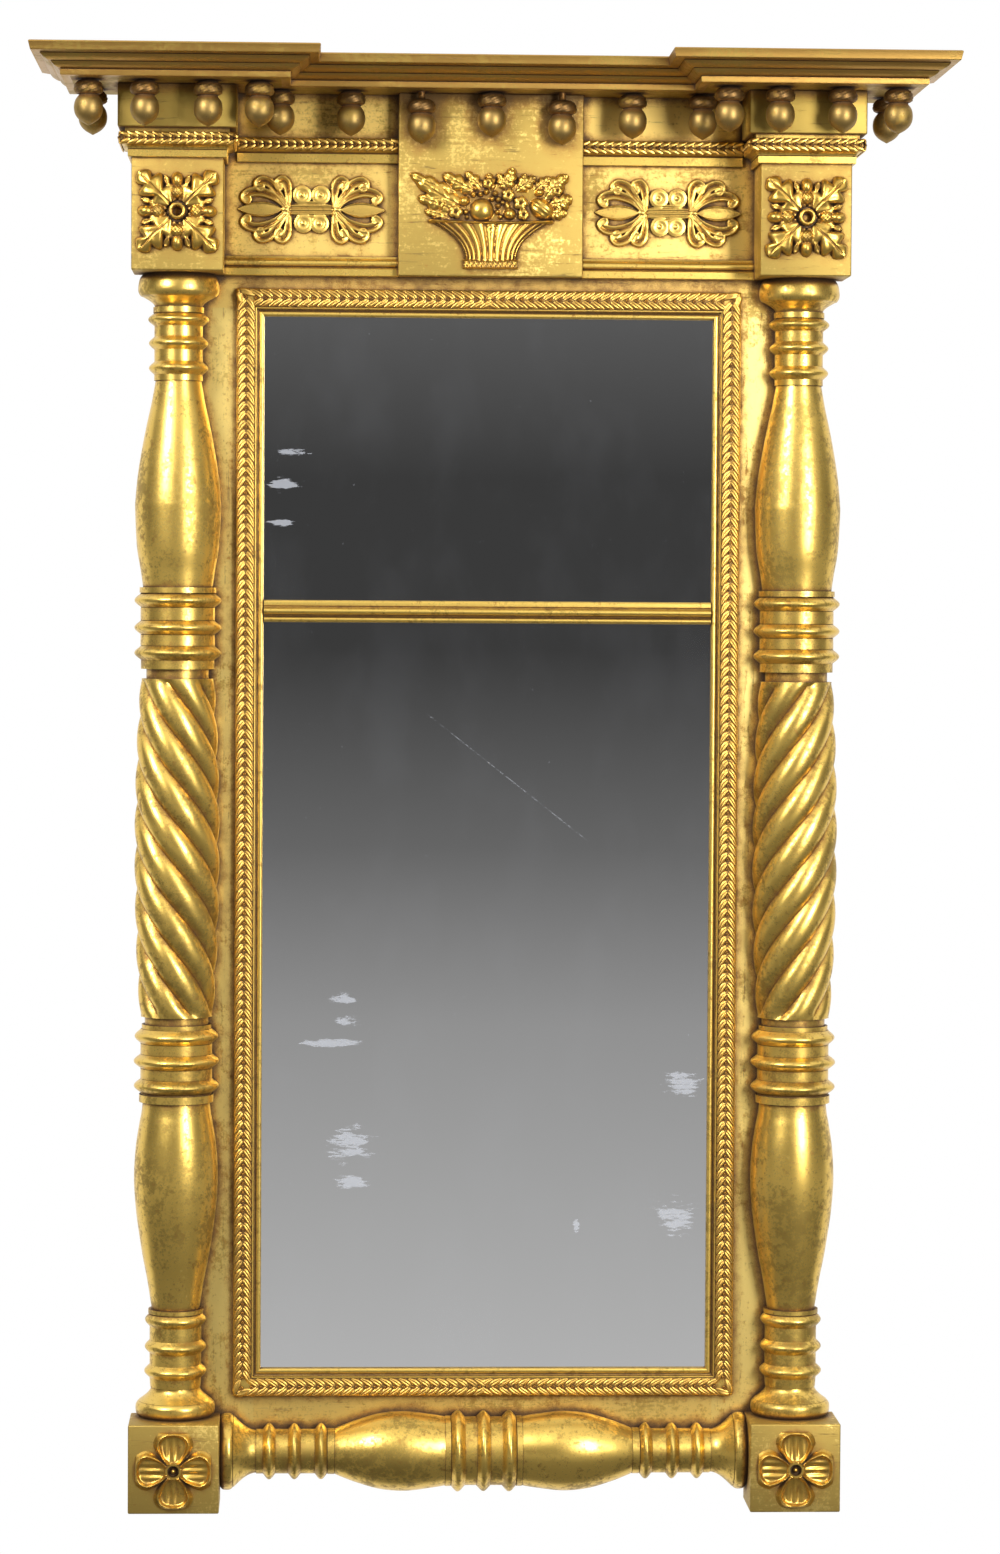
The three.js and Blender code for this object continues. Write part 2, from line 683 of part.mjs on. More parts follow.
const glassBack = frontOfBoards + glassThickness;
const plateJoint = (barTop + barFoot) / 2;
add('upper_mirror_plate', 'mirror', box([-glassHalf, frontOfBoards, plateJoint + touchGap / 2],
  [glassHalf, glassBack, glassTop]));
add('lower_mirror_plate', 'mirror', box([-glassHalf, frontOfBoards, glassFoot],
  [glassHalf, glassBack, plateJoint - touchGap / 2]));
add('backboard', 'pine', box([-glassHalf, glassBack, glassFoot],
  [glassHalf, glassBack + backboardThickness, glassTop]));

// ---- Applied ornament -----------------------------------------------------------------------------
/** Four oak leaves to the corners of the block, acorns between them and a ring in the middle. */
function oakRosette() {
  const outline = lobedOutline(24, (angle) => {
    const leaf = Math.abs(Math.sin(2 * angle)) ** 2.5;
    const nut = Math.abs(Math.cos(2 * angle)) ** 6;
    return rosetteReach * (0.5 + 0.5 * leaf + 0.2 * nut);
  });
  const rings = [[1, rosetteRelief * 0.3], [0.7, rosetteRelief * 0.6], [0.32, rosetteRelief * 0.5],
    [0.2, rosetteRelief]];
  return relief(outline, rings, rosetteRelief * 0.7);
}

/** Four rounded petals up, down and to the sides, with rolled rims and a dark cup. */
function flower() {
  const outline = lobedOutline(24, (angle) => {
    const petal = Math.abs(Math.cos(2 * angle)) ** 0.5;
    return flowerReach * (0.58 + 0.42 * petal);
  });
  const rings = [[1, flowerRelief * 0.5], [0.92, flowerRelief * 0.9], [0.6, flowerRelief * 0.5],
    [0.26, flowerRelief * 0.8]];
  return relief(outline, rings, flowerRelief * 0.4);
}

/** Two fans of rounded lobes, back to back, round a waist of scrolls. */
function palmette() {
  const [length, height] = [palmetteLength / 2, palmetteHeight / 2];
  const quarter = [
    [1, 0], [0.94, 0.2], [0.98, 0.42], [0.93, 0.6], [0.8, 0.66], [0.8, 0.85], [0.68, 0.98],
    [0.53, 0.96], [0.42, 1], [0.32, 0.86], [0.28, 0.62], [0.14, 0.68], [0.05, 0.6],
  ];
  const half = [...quarter, ...quarter.map(([x, z]) => [-x, z]).reverse()];
  const lower = half.slice(1, -1).map(([x, z]) => [x, -z]).reverse();
  const outline = [...half, ...lower].map(([x, z]) => [x * length, z * height]);
  const rings = [[1, palmetteRelief * 0.6], [0.93, palmetteRelief], [0.4, palmetteRelief * 0.7]];
  return relief(outline, rings, palmetteRelief);
}

/** Flared basket under a heap of leaves with the larger fruit standing out of it. */
function fruitBasket() {
  const [rim, foot] = [basketRimWidth / 2, basketFootWidth / 2];
  const flare = Array.from({ length: 6 }, (_, i) => {
    const share = i / 5;
    return [foot + (rim - foot) * share ** 1.8, basketHeight * share];
  });
  const side = [[foot * 1.08, -basketBandHeight], [foot * 1.08, 0], ...flare];
  const bowl = [...side, ...side.map(([x, z]) => [-x, z]).reverse()];
  const edge = fruitWidth / 2;
  const top = basketHeight + fruitRise;
  const heap = [
    [-rim, basketHeight - 1], [rim, basketHeight - 1], [edge, basketHeight + 17],
    [edge * 0.86, basketHeight + 27], [edge * 0.87, top - 10], [edge * 0.5, top - 14],
    [edge * 0.25, top], [edge * 0.05, top - 8], [-edge * 0.5, top - 12], [-edge, top - 6],
    [-edge * 0.93, basketHeight + 18],
  ];
  const fruits = [
    [0, basketHeight + 10.5, 10.5], [51, basketHeight + 12, 9.5], [25, basketHeight + 6, 6],
    [-15, basketHeight + 18, 5.5], [7, basketHeight + 25, 6],
  ];
  let solid = toSolid(extruded(bowl, basketRelief)).add(toSolid(extruded(heap, fruitRelief)));
  for (const [x, z, radius] of fruits) {
    const fruit = new THREE.SphereGeometry(radius, 10, 6).scale(1, 0.7, 1);
    const clear = toSolid(fruit.translate(x, -fruitRelief, z));
    const front = toSolid(box([-edge, -fruitRelief - 20, 0], [edge, -fruitRelief / 2, top]));
    solid = solid.add(clear.intersect(front));
  }
  return toGeometry(solid);
}

const rosetteHeight = columnTop + friezeFaceHeight * 0.52;
const flowerHeight = baseBlockHeight * 0.49;
const palmetteX = (tabletHalf + blockInner) / 2;
const panelFoot = columnTop + friezeBandHeight;
const palmetteZ = (panelFoot + fasciaFoot - friezeLeafHeight) / 2;
addPair('oak_rosette', 'gilding', oakRosette().translate(blockX, blockFront, rosetteHeight));
addPair('flower_rosette', 'gilding', flower().translate(blockX, blockFront, flowerHeight));
addPair('palmette', 'gilding', palmette().translate(palmetteX, frontOfBoards, palmetteZ));
add('fruit_basket', 'gilding', fruitBasket(), 0, tabletFront, columnTop + basketLift);

// ---- Hanging hardware -----------------------------------------------------------------------------
const barrelY = -pocketDepth + barrelRadius;
const barZ = headerFoot + hangerHeight;

/** Strap on the pocket's floor, rolled into a barrel round the ring's bar. */
function hangerStrap() {
  const half = strapWidth / 2;
  const roll = (radius, length) => {
    const cylinder = new THREE.CylinderGeometry(radius, radius, length, 12);
    return toSolid(cylinder.rotateZ(Math.PI / 2));
  };
  const strap = toSolid(box([-half, -barrelRadius, 0],
    [half, strapThickness - barrelRadius, strapLength]));
  const barrel = roll(barrelRadius, strapWidth);
  return toGeometry(strap.add(barrel).subtract(roll(wireRadius + wireClearance, strapWidth * 2)));
}

/** Closed wire ring: a straight bar through the barrel and an arc hanging below it. */
function hangerRing() {
  const arc = Array.from({ length: 13 }, (_, i) => {
    const angle = (-Math.PI * i) / 12;
    return [ringRadius * Math.cos(angle), ringRadius * Math.sin(angle) - ringDrop];
  });
  const path = [[-ringRadius + 2, 0], [0, 0], [ringRadius - 2, 0], ...arc];
  const sides = 8;
  const points = [];
  const faces = [];
  path.forEach(([x, z], i) => {
    const before = path.at(i - 1);
    const after = path[(i + 1) % path.length];
    const along = new THREE.Vector2(after[0] - before[0], after[1] - before[1]).normalize();
    for (let side = 0; side < sides; side++) {
      const angle = (2 * Math.PI * (side + 0.5)) / sides;
      const across = wireRadius * Math.cos(angle);
      points.push([x + along.y * across, wireRadius * Math.sin(angle), z - along.x * across]);
    }
  });
  for (let step = 0; step < path.length; step++) {
    for (let side = 0; side < sides; side++) {
      const next = (side + 1) % sides;
      const [here, there] = [step * sides, ((step + 1) % path.length) * sides];
      faces.push([here + side, here + next, there + next, there + side]);
    }
  }
  return body(points, faces);
}

addPair('hanger_strap', 'brass', hangerStrap().translate(hangerSpacing / 2, barrelY, barZ));
addPair('hanger_ring', 'brass', hangerRing().translate(hangerSpacing / 2, barrelY, barZ));

export default part;
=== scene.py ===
"""Gilded pier mirror: turned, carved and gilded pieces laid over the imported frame.

Lengths in the code are millimetres in the frame's own axes (+X to the viewer's right, -Y towards the
viewer, +Z up) and become metres where a mesh is made. Properties that a user sets are in metres.
"""

import math
from functools import partial

import bmesh
import bpy
import numpy as np
from bpy.props import FloatProperty, FloatVectorProperty, IntProperty, PointerProperty
from mathutils import Matrix, Vector


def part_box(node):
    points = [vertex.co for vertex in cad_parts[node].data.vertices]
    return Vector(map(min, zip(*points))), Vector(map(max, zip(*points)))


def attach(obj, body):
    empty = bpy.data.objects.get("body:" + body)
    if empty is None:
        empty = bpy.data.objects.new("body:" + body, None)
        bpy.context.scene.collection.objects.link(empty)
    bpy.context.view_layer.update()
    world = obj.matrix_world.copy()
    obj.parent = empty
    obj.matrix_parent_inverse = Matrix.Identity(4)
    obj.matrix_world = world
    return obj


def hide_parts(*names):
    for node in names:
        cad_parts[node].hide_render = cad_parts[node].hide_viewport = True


bl_info = {
    "name": "Gilded pier mirror",
    "version": (1, 0, 0),
    "blender": (4, 5, 0),
    "location": "View3D > Sidebar > Pier mirror",
    "description": "Turns, carves, gilds and lights a pier mirror with split columns",
    "category": "Add Mesh",
}

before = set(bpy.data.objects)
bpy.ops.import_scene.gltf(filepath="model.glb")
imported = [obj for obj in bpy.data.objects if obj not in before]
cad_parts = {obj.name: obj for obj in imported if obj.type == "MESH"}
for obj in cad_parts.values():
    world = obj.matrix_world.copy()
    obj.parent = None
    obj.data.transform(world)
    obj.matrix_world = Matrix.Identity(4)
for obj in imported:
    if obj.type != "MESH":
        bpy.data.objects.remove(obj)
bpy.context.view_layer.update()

MM = 0.001
BODY = "frame"
SIDES = (("left", -1), ("right", 1))


def linear(hex_colour):
    """sRGB hex to the linear values that Blender's sockets take."""
    shares = [int(hex_colour[i:i + 2], 16) / 255 for i in (0, 2, 4)]
    return tuple(s / 12.92 if s <= 0.04045 else ((s + 0.055) / 1.055) ** 2.4 for s in shares)


def corners(node):
    """Lowest and highest corner of a CAD node in millimetres."""
    low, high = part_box(node)
    return low / MM, high / MM


# ---- Levels and planes read from the frame -------------------------------------------------------
FOOT = corners("left_base_block")[0].z
BOARD_FRONT = corners("header")[0].y
BLOCK_LOW, BLOCK_HIGH = corners("right_base_block")
FRIEZE_LOW, FRIEZE_HIGH = corners("right_frieze_block")
COLUMN_LOW, COLUMN_HIGH = corners("right_column")
COLUMN_X = (BLOCK_LOW.x + BLOCK_HIGH.x) / 2
SOFFIT = corners("cornice_board")[0].z
BLOCK_FRONT = BLOCK_LOW.y
TABLET_FRONT = corners("centre_tablet")[0].y
TURNING_Y = BOARD_FRONT - 12  # the turnings' axes stand this far in front of the boards


# ---- What a user can change ----------------------------------------------------------------------
def length(name, description, millimetres):
    return FloatProperty(name=name, description=description, default=millimetres * MM, min=0.0,
                         unit="LENGTH", precision=4)


def colour(name, description, hex_colour):
    return FloatVectorProperty(name=name, description=description, subtype="COLOR", size=3,
                               min=0.0, max=1.0, default=linear(hex_colour))


class MirrorSizes(bpy.types.PropertyGroup):
    leaf_pitch: length("Leaf pitch", "From one pair of leaves to the next along the sight moulding", 8.2)
    cap_leaf_pitch: length("Cap leaf pitch", "The same along the frieze and cap mouldings", 6.9)
    edge_softening: length("Edge softening", "Rounding of the blocks' arrises under the gesso", 1.3)
    twist_depth: length("Twist depth", "Depth of the grooves between a column's strands", 7.0)
    relief_pitch: length("Relief pitch", "Grid that the applied ornaments are carved on", 0.5)
    turning_sides: IntProperty(name="Turning sides", description="Facets round a turning",
                               default=120, min=24, max=240)


class MirrorColours(bpy.types.PropertyGroup):
    leaf: colour("Gold leaf", "Sound gold leaf", "E8C363")
    worn: colour("Worn leaf", "Leaf rubbed thin over yellow clay", "A28844")
    # Bole also paints the warm shade in hollows, and grime the dark painted shade there as well as real
    # dirt.
    bole_and_warm_shade: colour("Bole", "Warm ground that shows in hollows", "A8763A")
    grime_and_shade: colour("Grime", "Old dirt and varnish in crevices", "3A2612")
    bronze: colour("Bronzed leaf", "Darker leaf of the acorns", "9C8049")
    pine: colour("Pine", "Bare wood of the back", "A9824F")


class MirrorStudio(bpy.types.PropertyGroup):
    left_power: FloatProperty(name="Left softbox", description="Power of the softbox at the left",
                              default=58.0, min=0.0, unit="POWER")
    right_power: FloatProperty(name="Right softbox", description="Power of the softbox at the right",
                               default=72.0, min=0.0, unit="POWER")


def settings():
    return bpy.context.scene.pier_mirror_sizes


def colours():
    return bpy.context.scene.pier_mirror_colours


# ---- Nodes and finishes --------------------------------------------------------------------------
def add_node(tree, kind, inputs=(), **options):
    """One node with its settings. Inputs come in order or by name; a node or a socket is linked."""
    made = tree.nodes.new(kind)
    for name, value in options.items():
        setattr(made, name, value)
    for key, value in inputs.items() if isinstance(inputs, dict) else enumerate(inputs):
        if isinstance(value, bpy.types.Node):
            value = next(output for output in value.outputs if output.enabled)
        if isinstance(value, bpy.types.NodeSocket):
            tree.links.new(value, made.inputs[key])
        else:
            made.inputs[key].default_value = value
    return made


# Options that many nodes share. Sums, products and the greater of two are kept between 0 and 1.
SMOOTH = {"interpolation_type": "SMOOTHSTEP"}
PLUS, MINUS, TIMES, GREATER = ({"operation": operation, "use_clamp": True}
                               for operation in ("ADD", "SUBTRACT", "MULTIPLY", "MAXIMUM"))
COLOURS = {"data_type": "RGBA"}


def made_once(name, surface, *details):
    """Material of that name, whose shader comes from surface(tree, *details)."""
    if name not in bpy.data.materials:
        material = bpy.data.materials.new(name)
        material.use_nodes = True
        tree = material.node_tree
        tree.nodes.clear()
        add_node(tree, "ShaderNodeOutputMaterial", {"Surface": surface(tree, *details)})
    return bpy.data.materials[name]


def shade(name):
    """One of the user's colours by its name, or else an sRGB hex value, as a socket takes it."""
    given = colours()
    return (*(getattr(given, name) if hasattr(given, name) else linear(name)), 1.0)


def per_mm(size):
    """Scale of a noise whose grains are about size millimetres, on coordinates in metres."""
    return 1.0 / (size * MM)


ALONG = {"x": (0.09, 1.0, 1.0), "z": (1.0, 1.0, 0.09)}  # draws a pattern out along one axis
BACKWARDS = (0, 1, 0)

# Water gilding: leaf over yellow clay on gesso, by where it lies. Each row gives the colour of the sound
# leaf, its roughness, how widely it is rubbed, how far from a corner dirt and painted shade reach in
# millimetres, the axis of the wood's grain where that shows through, the strength of the dirt and painted
# shade, and the direction in which surfaces were never gilded and show the wood.
GILDING = {
    # Leaf on the blocks behind the acorns, worn to olive with dark grain, and painted darker as
    # shade under the cornice.
    "worn_and_shaded_gilding_on_fascias": ("D4B75C", 0.38, 2.4, 12, "x", 0.8, BACKWARDS),
    # Matt leaf on the blocks and tablet, widely rubbed along the wood's grain.
    "matt_water_gilding_on_blocks": ("E4C570", 0.42, 1.5, 18, "x", 0.8, BACKWARDS),
    # Matt leaf on the back frame's header and bottom rail, less rubbed than the blocks.
    "matt_water_gilding_on_rails": ("E6C46E", 0.42, 0.6, 10, "x", 1.0, BACKWARDS),
    # The same on the back frame's upright boards, with their grain upright.
    "matt_water_gilding_on_stiles": ("E6CA78", 0.42, 0.5, 10, "z", 1.0, BACKWARDS),
    # Matt leaf on the underside of the cornice board, whose top was left as bare wood.
    "matt_water_gilding_on_soffit": ("C9A656", 0.43, 1.5, 10, "x", 1.0, (0, 1, 1)),
    # Burnished leaf on the turnings: brighter and smoother, dirt and painted shade in the quirks, backs left
    # bare.
    "burnished_water_gilding": ("leaf", 0.30, 0.75, 8, None, 1.0, BACKWARDS),
    # Burnished leaf on the run mouldings: bright edges and thin lines of dirt and painted shade in the
    # quirks.
    "gilding_on_mouldings": ("leaf", 0.32, 0.4, 3, None, 1.0, None),
    # Leaf on the cornice: thin, brown and dusty, and painted darker as shade on its down-facing members.
    "thin_and_shaded_gilding_on_cornice": ("B58D48", 0.36, 0.6, 5, "x", 1.0, None),
    # Leaf over the pressed bands of paired leaves: rubbed bright, dirt and painted shade only between the
    # leaves.
    "gilding_on_pressed_leaf_bands": ("D9AE56", 0.36, 0.2, 3.4, None, 1.0, None),
    # Leaf over moulded composition ornament: bright ridges, and dirt and painted shade between them.
    "gilded_composition_ornament": ("D8AF52", 0.30, 0.4, 5, None, 1.0, None),
    # Leaf over the flatter palmettes, rubbed pale by dusting.
    "gilded_palmettes": ("E3BC60", 0.34, 0.3, 3.5, None, 0.95, None),
    # Bronze-toned leaf on the acorns: a soft, darker shine, brown with dirt and painted shade round the
    # shoulders.
    "bronzed_leaf_on_turned_acorns": ("bronze", 0.46, 0.6, 6, None, 1.0, None),
    # The acorns' caps: the same leaf, brown and matt from handling and dust.
    "darkened_leaf_on_acorn_caps": ("6E5634", 0.46, 0.6, 5, None, 1.0, None),
}
# Patterns in the leaf: grain in millimetres, detail and roughness of the noise.
PATCHES, MOTTLING, SPECKS, FINE = (60, 5.0, 0.6), (10, 6.0, 0.66), (1.7, 3.0, 0.6), (3.2, 4.0, 0.7)
STREAKS = (3.4, 6.0, 0.72)
# Values of a pattern, or of a hollow's depth, at which an effect starts and is full, and its strength.
SPECK_MARKS, STREAK_MARKS = (0.62, 0.67, 0.0, 0.42), (0.58, 0.69, 0.0, 0.55)
# Painted shade in the hollows, also standing for dirt: a warm bole tone, then the dark grime colour.
WARM_PAINTED_SHADE, DIRT_AND_PAINTED_SHADE = (0.14, 0.38, 0.85), (0.29, 0.56, 0.95)
RUBBING_MIX = (0.36, 0.34, 0.30)  # shares of patches, mottling and fine grain in where leaf is rubbed
MOTTLING_SHARE, STREAK_SHARE = 0.45, 0.55
WORN_COVER, CLAY_COVER = 0.85, 0.55  # the most that worn leaf and clay cover the sound leaf
RUBBED_DULLNESS, SOILED_AND_SHADED_DULLNESS = 0.14, 0.3  # added to the roughness
GRIT_HEIGHT, UNEVEN_HEIGHT, BUMP_DEPTH = 0.3, 0.7, 0.0003  # shares of the bump, and metres
SOUND_METAL, SOILED_AND_SHADED_METAL = 0.93, 0.2  # metallic share of clean leaf and of dirt with painted shade
OCCLUSION_SAMPLES = 6


def gilded(tree, leaf, roughness, rubbed_width, dirt_and_shade_reach, grain_along, dirt_and_shade_strength, bare):
    """Gilding: sound leaf, rubbed patches, clay showing, and dirt with painted shade in the hollows.

    The leaf reflects as a metal. Rubbing, dirt and painted shade make it duller, rougher and less metallic.
    """
    add = partial(add_node, tree)
    where = add("ShaderNodeTexCoord").outputs
    place = where["Object"]
    patches, mottling, specks, fine = (
        add("ShaderNodeTexNoise", {
            "Vector": place, "Scale": per_mm(size), "Detail": detail, "Roughness": breaking})
        for size, detail, breaking in (PATCHES, MOTTLING, SPECKS, FINE))
    if grain_along:
        size, detail, breaking = STREAKS
        streaks = add("ShaderNodeTexNoise", {
            "Vector": add("ShaderNodeMapping", {"Vector": place, "Scale": ALONG[grain_along]}),
            "Scale": per_mm(size), "Detail": detail, "Roughness": breaking})
        uneven = add("ShaderNodeMath", (add("ShaderNodeMath", (mottling, MOTTLING_SHARE), **TIMES),
                                        add("ShaderNodeMath", (streaks, STREAK_SHARE), **TIMES)), **PLUS)
        marks = add("ShaderNodeMapRange", (streaks, *STREAK_MARKS), **SMOOTH)
    else:
        uneven = mottling
        marks = add("ShaderNodeMapRange", (specks, *SPECK_MARKS), **SMOOTH)
    rubbing = add("ShaderNodeVectorMath", (
        add("ShaderNodeCombineXYZ", (patches, uneven, fine)), RUBBING_MIX),
        operation="DOT_PRODUCT")
    rubbed = add("ShaderNodeMapRange", (
        rubbing, 0.555 - rubbed_width * 0.10, 0.625 - rubbed_width * 0.09), **SMOOTH)
    clay = add("ShaderNodeMath", (
        add("ShaderNodeMapRange", (fine, 0.52, 0.62), **SMOOTH),
        add("ShaderNodeMapRange", (uneven, 0.50, 0.62), **SMOOTH)), **TIMES)
    # Dirt and painted shade: occlusion darkens the leaf in corners and quirks, under overhangs and behind
    # acorns.
    occlusion = add("ShaderNodeAmbientOcclusion", {"Distance": dirt_and_shade_reach * MM},
                    samples=OCCLUSION_SAMPLES)
    hollow = add("ShaderNodeMath", (
        add("ShaderNodeMath", (1.0, occlusion.outputs["AO"]), **MINUS),
        add("ShaderNodeMapRange", (mottling, 0.35, 0.70, 0.0, 0.14), **SMOOTH)), **PLUS)
    warm_painted_shade, dirt_and_painted_shade = (
        add("ShaderNodeMapRange", (hollow, low, high, 0.0, strength * dirt_and_shade_strength), **SMOOTH)
        for low, high, strength in (WARM_PAINTED_SHADE, DIRT_AND_PAINTED_SHADE))
    soiled_and_shaded = add("ShaderNodeMath", (dirt_and_painted_shade, marks), **GREATER)
    # Over the leaf: worn leaf, clay, warm painted shade in the bole colour, then dirt with painted shade in
    # grime.
    tone = shade(leaf)
    for share, over in ((add("ShaderNodeMath", (rubbed, WORN_COVER), **TIMES), "worn"),
                        (add("ShaderNodeMath", (clay, CLAY_COVER), **TIMES), "bole_and_warm_shade"),
                        (warm_painted_shade, "bole_and_warm_shade"), (soiled_and_shaded, "grime_and_shade")):
        tone = add("ShaderNodeMix", {"Factor": share, "A": tone, "B": shade(over)}, **COLOURS)
    height, dull = (
        add("ShaderNodeMath", (add("ShaderNodeMath", (first, first_share), **TIMES),
                               add("ShaderNodeMath", (second, second_share), **TIMES)), **PLUS)
        for first, first_share, second, second_share in (
            (specks, GRIT_HEIGHT, uneven, UNEVEN_HEIGHT),
            (rubbed, RUBBED_DULLNESS, soiled_and_shaded, SOILED_AND_SHADED_DULLNESS)))
    surface = add("ShaderNodeBsdfPrincipled", {
        "Base Color": tone,
        "Metallic": add("ShaderNodeMapRange", (soiled_and_shaded, 0.0, 1.0, SOUND_METAL, SOILED_AND_SHADED_METAL), **SMOOTH),
        "Roughness": add("ShaderNodeMath", (dull, roughness), **PLUS),
        "Normal": add("ShaderNodeBump", {"Height": height, "Strength": 0.5, "Distance": BUMP_DEPTH}),
    })
    if bare:
        facing = add("ShaderNodeVectorMath", (where["Normal"], bare), operation="DOT_PRODUCT")
        surface = add("ShaderNodeMixShader", (
            add("ShaderNodeMapRange", (facing, 0.80, 0.90), **SMOOTH), surface,
            pine(tree, place, ALONG[grain_along or "z"])))
    return surface


def gilding(name):
    return made_once(name, gilded, *GILDING[name])


def pine(tree, place, stretch):
    """Bare softwood: uneven growth rings and darker fibres along the board, gone brown with age."""
    add = partial(add_node, tree)
    along = add("ShaderNodeMapping", {"Vector": place, "Scale": stretch})
    rings, fibre, stain = (
        add("ShaderNodeTexNoise", {
            "Vector": vector, "Scale": per_mm(size), "Detail": detail, "Roughness": breaking})
        for vector, size, detail, breaking in ((along, 9, 2.0, 0.45), (along, 1.2, 3.0, 0.55),
                                               (place, 90, 5.0, 0.55)))
    wood = shade("pine")
    for pattern, low, high, strength, over in (
            (rings, 0.40, 0.60, 0.60, "7A5730"), (fibre, 0.40, 0.70, 0.35, "4A3018"),
            (stain, 0.42, 0.70, 0.30, "5C4226")):
        share = add("ShaderNodeMapRange", (pattern, low, high, 0.0, strength), **SMOOTH)
        wood = add("ShaderNodeMix", {"Factor": share, "A": wood, "B": shade(over)}, **COLOURS)
    return add("ShaderNodeBsdfPrincipled", {
        "Base Color": wood, "Roughness": 0.72,
        "Normal": add("ShaderNodeBump", {"Height": fibre, "Strength": 0.4, "Distance": 0.0004})})


def planed_pine(tree):
    """Planed softwood of the backboard, with its growth rings upright."""
    return pine(tree, add_node(tree, "ShaderNodeTexCoord").outputs["Object"], ALONG["z"])


SILVER_LOSS = (  # x, height above the foot, half width and half height of each patch
    (-182, 902, 22, 9), (-176, 930, 24, 5), (-183, 868, 18, 5), (-125, 448, 20, 8), (-122, 428, 18, 8),
    (-137, 407, 44, 5), (-120, 318, 32, 26), (-118, 284, 26, 12), (177, 372, 28, 18),
    (172, 252, 30, 26), (82, 245, 5, 14),
)
SCRATCH_PLACE, SCRATCH_REACH, SCRATCH_SLOPE = (18, 644), 93, 38  # middle, half length and degrees
HAZE = 0.012  # roughness of the clean mirror, and the most that clouding adds


def nearness(tree, place, x, height, half_width, half_height):
    """1 at a place on the glass, falling to 0 outside an ellipse about it."""
    add = partial(add_node, tree)
    offset = add("ShaderNodeVectorMath", (
        place, (x * MM, BOARD_FRONT * MM, (FOOT + height) * MM)), operation="SUBTRACT")
    squeezed = add("ShaderNodeVectorMath", (
        offset, (1 / (half_width * MM), 0.0, 1 / (half_height * MM))), operation="MULTIPLY")
    reach = add("ShaderNodeVectorMath", (squeezed,), operation="LENGTH")
    return add("ShaderNodeMapRange", (reach, 0.0, 1.35, 1.0, 0.0), **SMOOTH)


def old_mirror(tree):
    """Cast plate with a tin and mercury silvering that is grey, hazy and lifted near the edges."""
    add = partial(add_node, tree)
    place = add("ShaderNodeTexCoord").outputs["Object"]
    ragged, specks, cloud = (
        add("ShaderNodeTexNoise", {
            "Vector": add("ShaderNodeMapping", {"Vector": place, "Scale": stretch}),
            "Scale": per_mm(size), "Detail": detail, "Roughness": breaking})
        for stretch, size, detail, breaking in (
            ((0.32, 1.0, 1.5), 7, 7.0, 0.75), ((1.0, 1.0, 1.0), 2.6, 2.0, 0.55),
            ((1.0, 1.0, 0.5), 60, 4.0, 0.6)))
    lost = 0.0
    for patch in SILVER_LOSS:
        lost = add("ShaderNodeMath", (nearness(tree, place, *patch), lost), **GREATER)
    lifted = add("ShaderNodeMath", (add("ShaderNodeMath", (lost, 0.34), **TIMES),
                                    add("ShaderNodeMath", (ragged, 0.9), **TIMES)), **PLUS)
    x, height = SCRATCH_PLACE
    line = add("ShaderNodeSeparateXYZ", (add("ShaderNodeMapping", {
        "Vector": place, "Location": (x * MM, 0.0, (FOOT + height) * MM),
        "Rotation": (0.0, math.radians(SCRATCH_SLOPE), 0.0)}, vector_type="TEXTURE"),)).outputs
    across, along = (add("ShaderNodeMath", (line[axis],), operation="ABSOLUTE") for axis in (2, 0))
    end = SCRATCH_REACH * MM
    scratch = add("ShaderNodeMapRange", (across, 0.0002, 0.0006, 0.22, 0.0), **SMOOTH)
    for share in (add("ShaderNodeMapRange", (along, end * 0.9, end, 1.0, 0.0), **SMOOTH),
                  add("ShaderNodeMapRange", (ragged, 0.45, 0.55), **SMOOTH)):
        scratch = add("ShaderNodeMath", (scratch, share), **TIMES)
    flaw = scratch
    for pattern, low, high, strength in ((lifted, 0.68, 0.73, 0.42), (specks, 0.73, 0.76, 0.16),
                                         (cloud, 0.42, 0.72, HAZE)):
        share = add("ShaderNodeMapRange", (pattern, low, high, 0.0, strength), **SMOOTH)
        flaw = add("ShaderNodeMath", (flaw, share), **GREATER)
    silver, bare = (
        add("ShaderNodeBsdfPrincipled", {
            "Base Color": shade(tone), "Metallic": metallic, "Roughness": roughness})
        for tone, metallic, roughness in (("F0F0F0", 1.0, HAZE), ("B9BDC6", 0.0, 0.4)))
    return add("ShaderNodeMixShader", (flaw, silver, bare))


def old_brass(tree):
    """Rolled brass gone brown, brighter where it has been handled."""
    add = partial(add_node, tree)
    place = add("ShaderNodeTexCoord").outputs["Object"]
    tarnish = add("ShaderNodeMapRange", (
        add("ShaderNodeTexNoise", {
            "Vector": place, "Scale": per_mm(14), "Detail": 4.0, "Roughness": 0.55}),
        0.36, 0.66), **SMOOTH)
    return add("ShaderNodeBsdfPrincipled", {
        "Base Color": add("ShaderNodeMix", {
            "Factor": tarnish, "A": shade("B08C4C"), "B": shade("6B4A22")}, **COLOURS),
        "Metallic": 1.0,
        "Roughness": add("ShaderNodeMapRange", (tarnish, 0.0, 1.0, 0.28, 0.55), **SMOOTH),
    })


# ---- Making meshes -------------------------------------------------------------------------------
ROUNDED, RUN, SOFT, CARVED = 32, 38, 50, 60  # degrees past which a piece's edges look sharp
MERGE = 0.00001


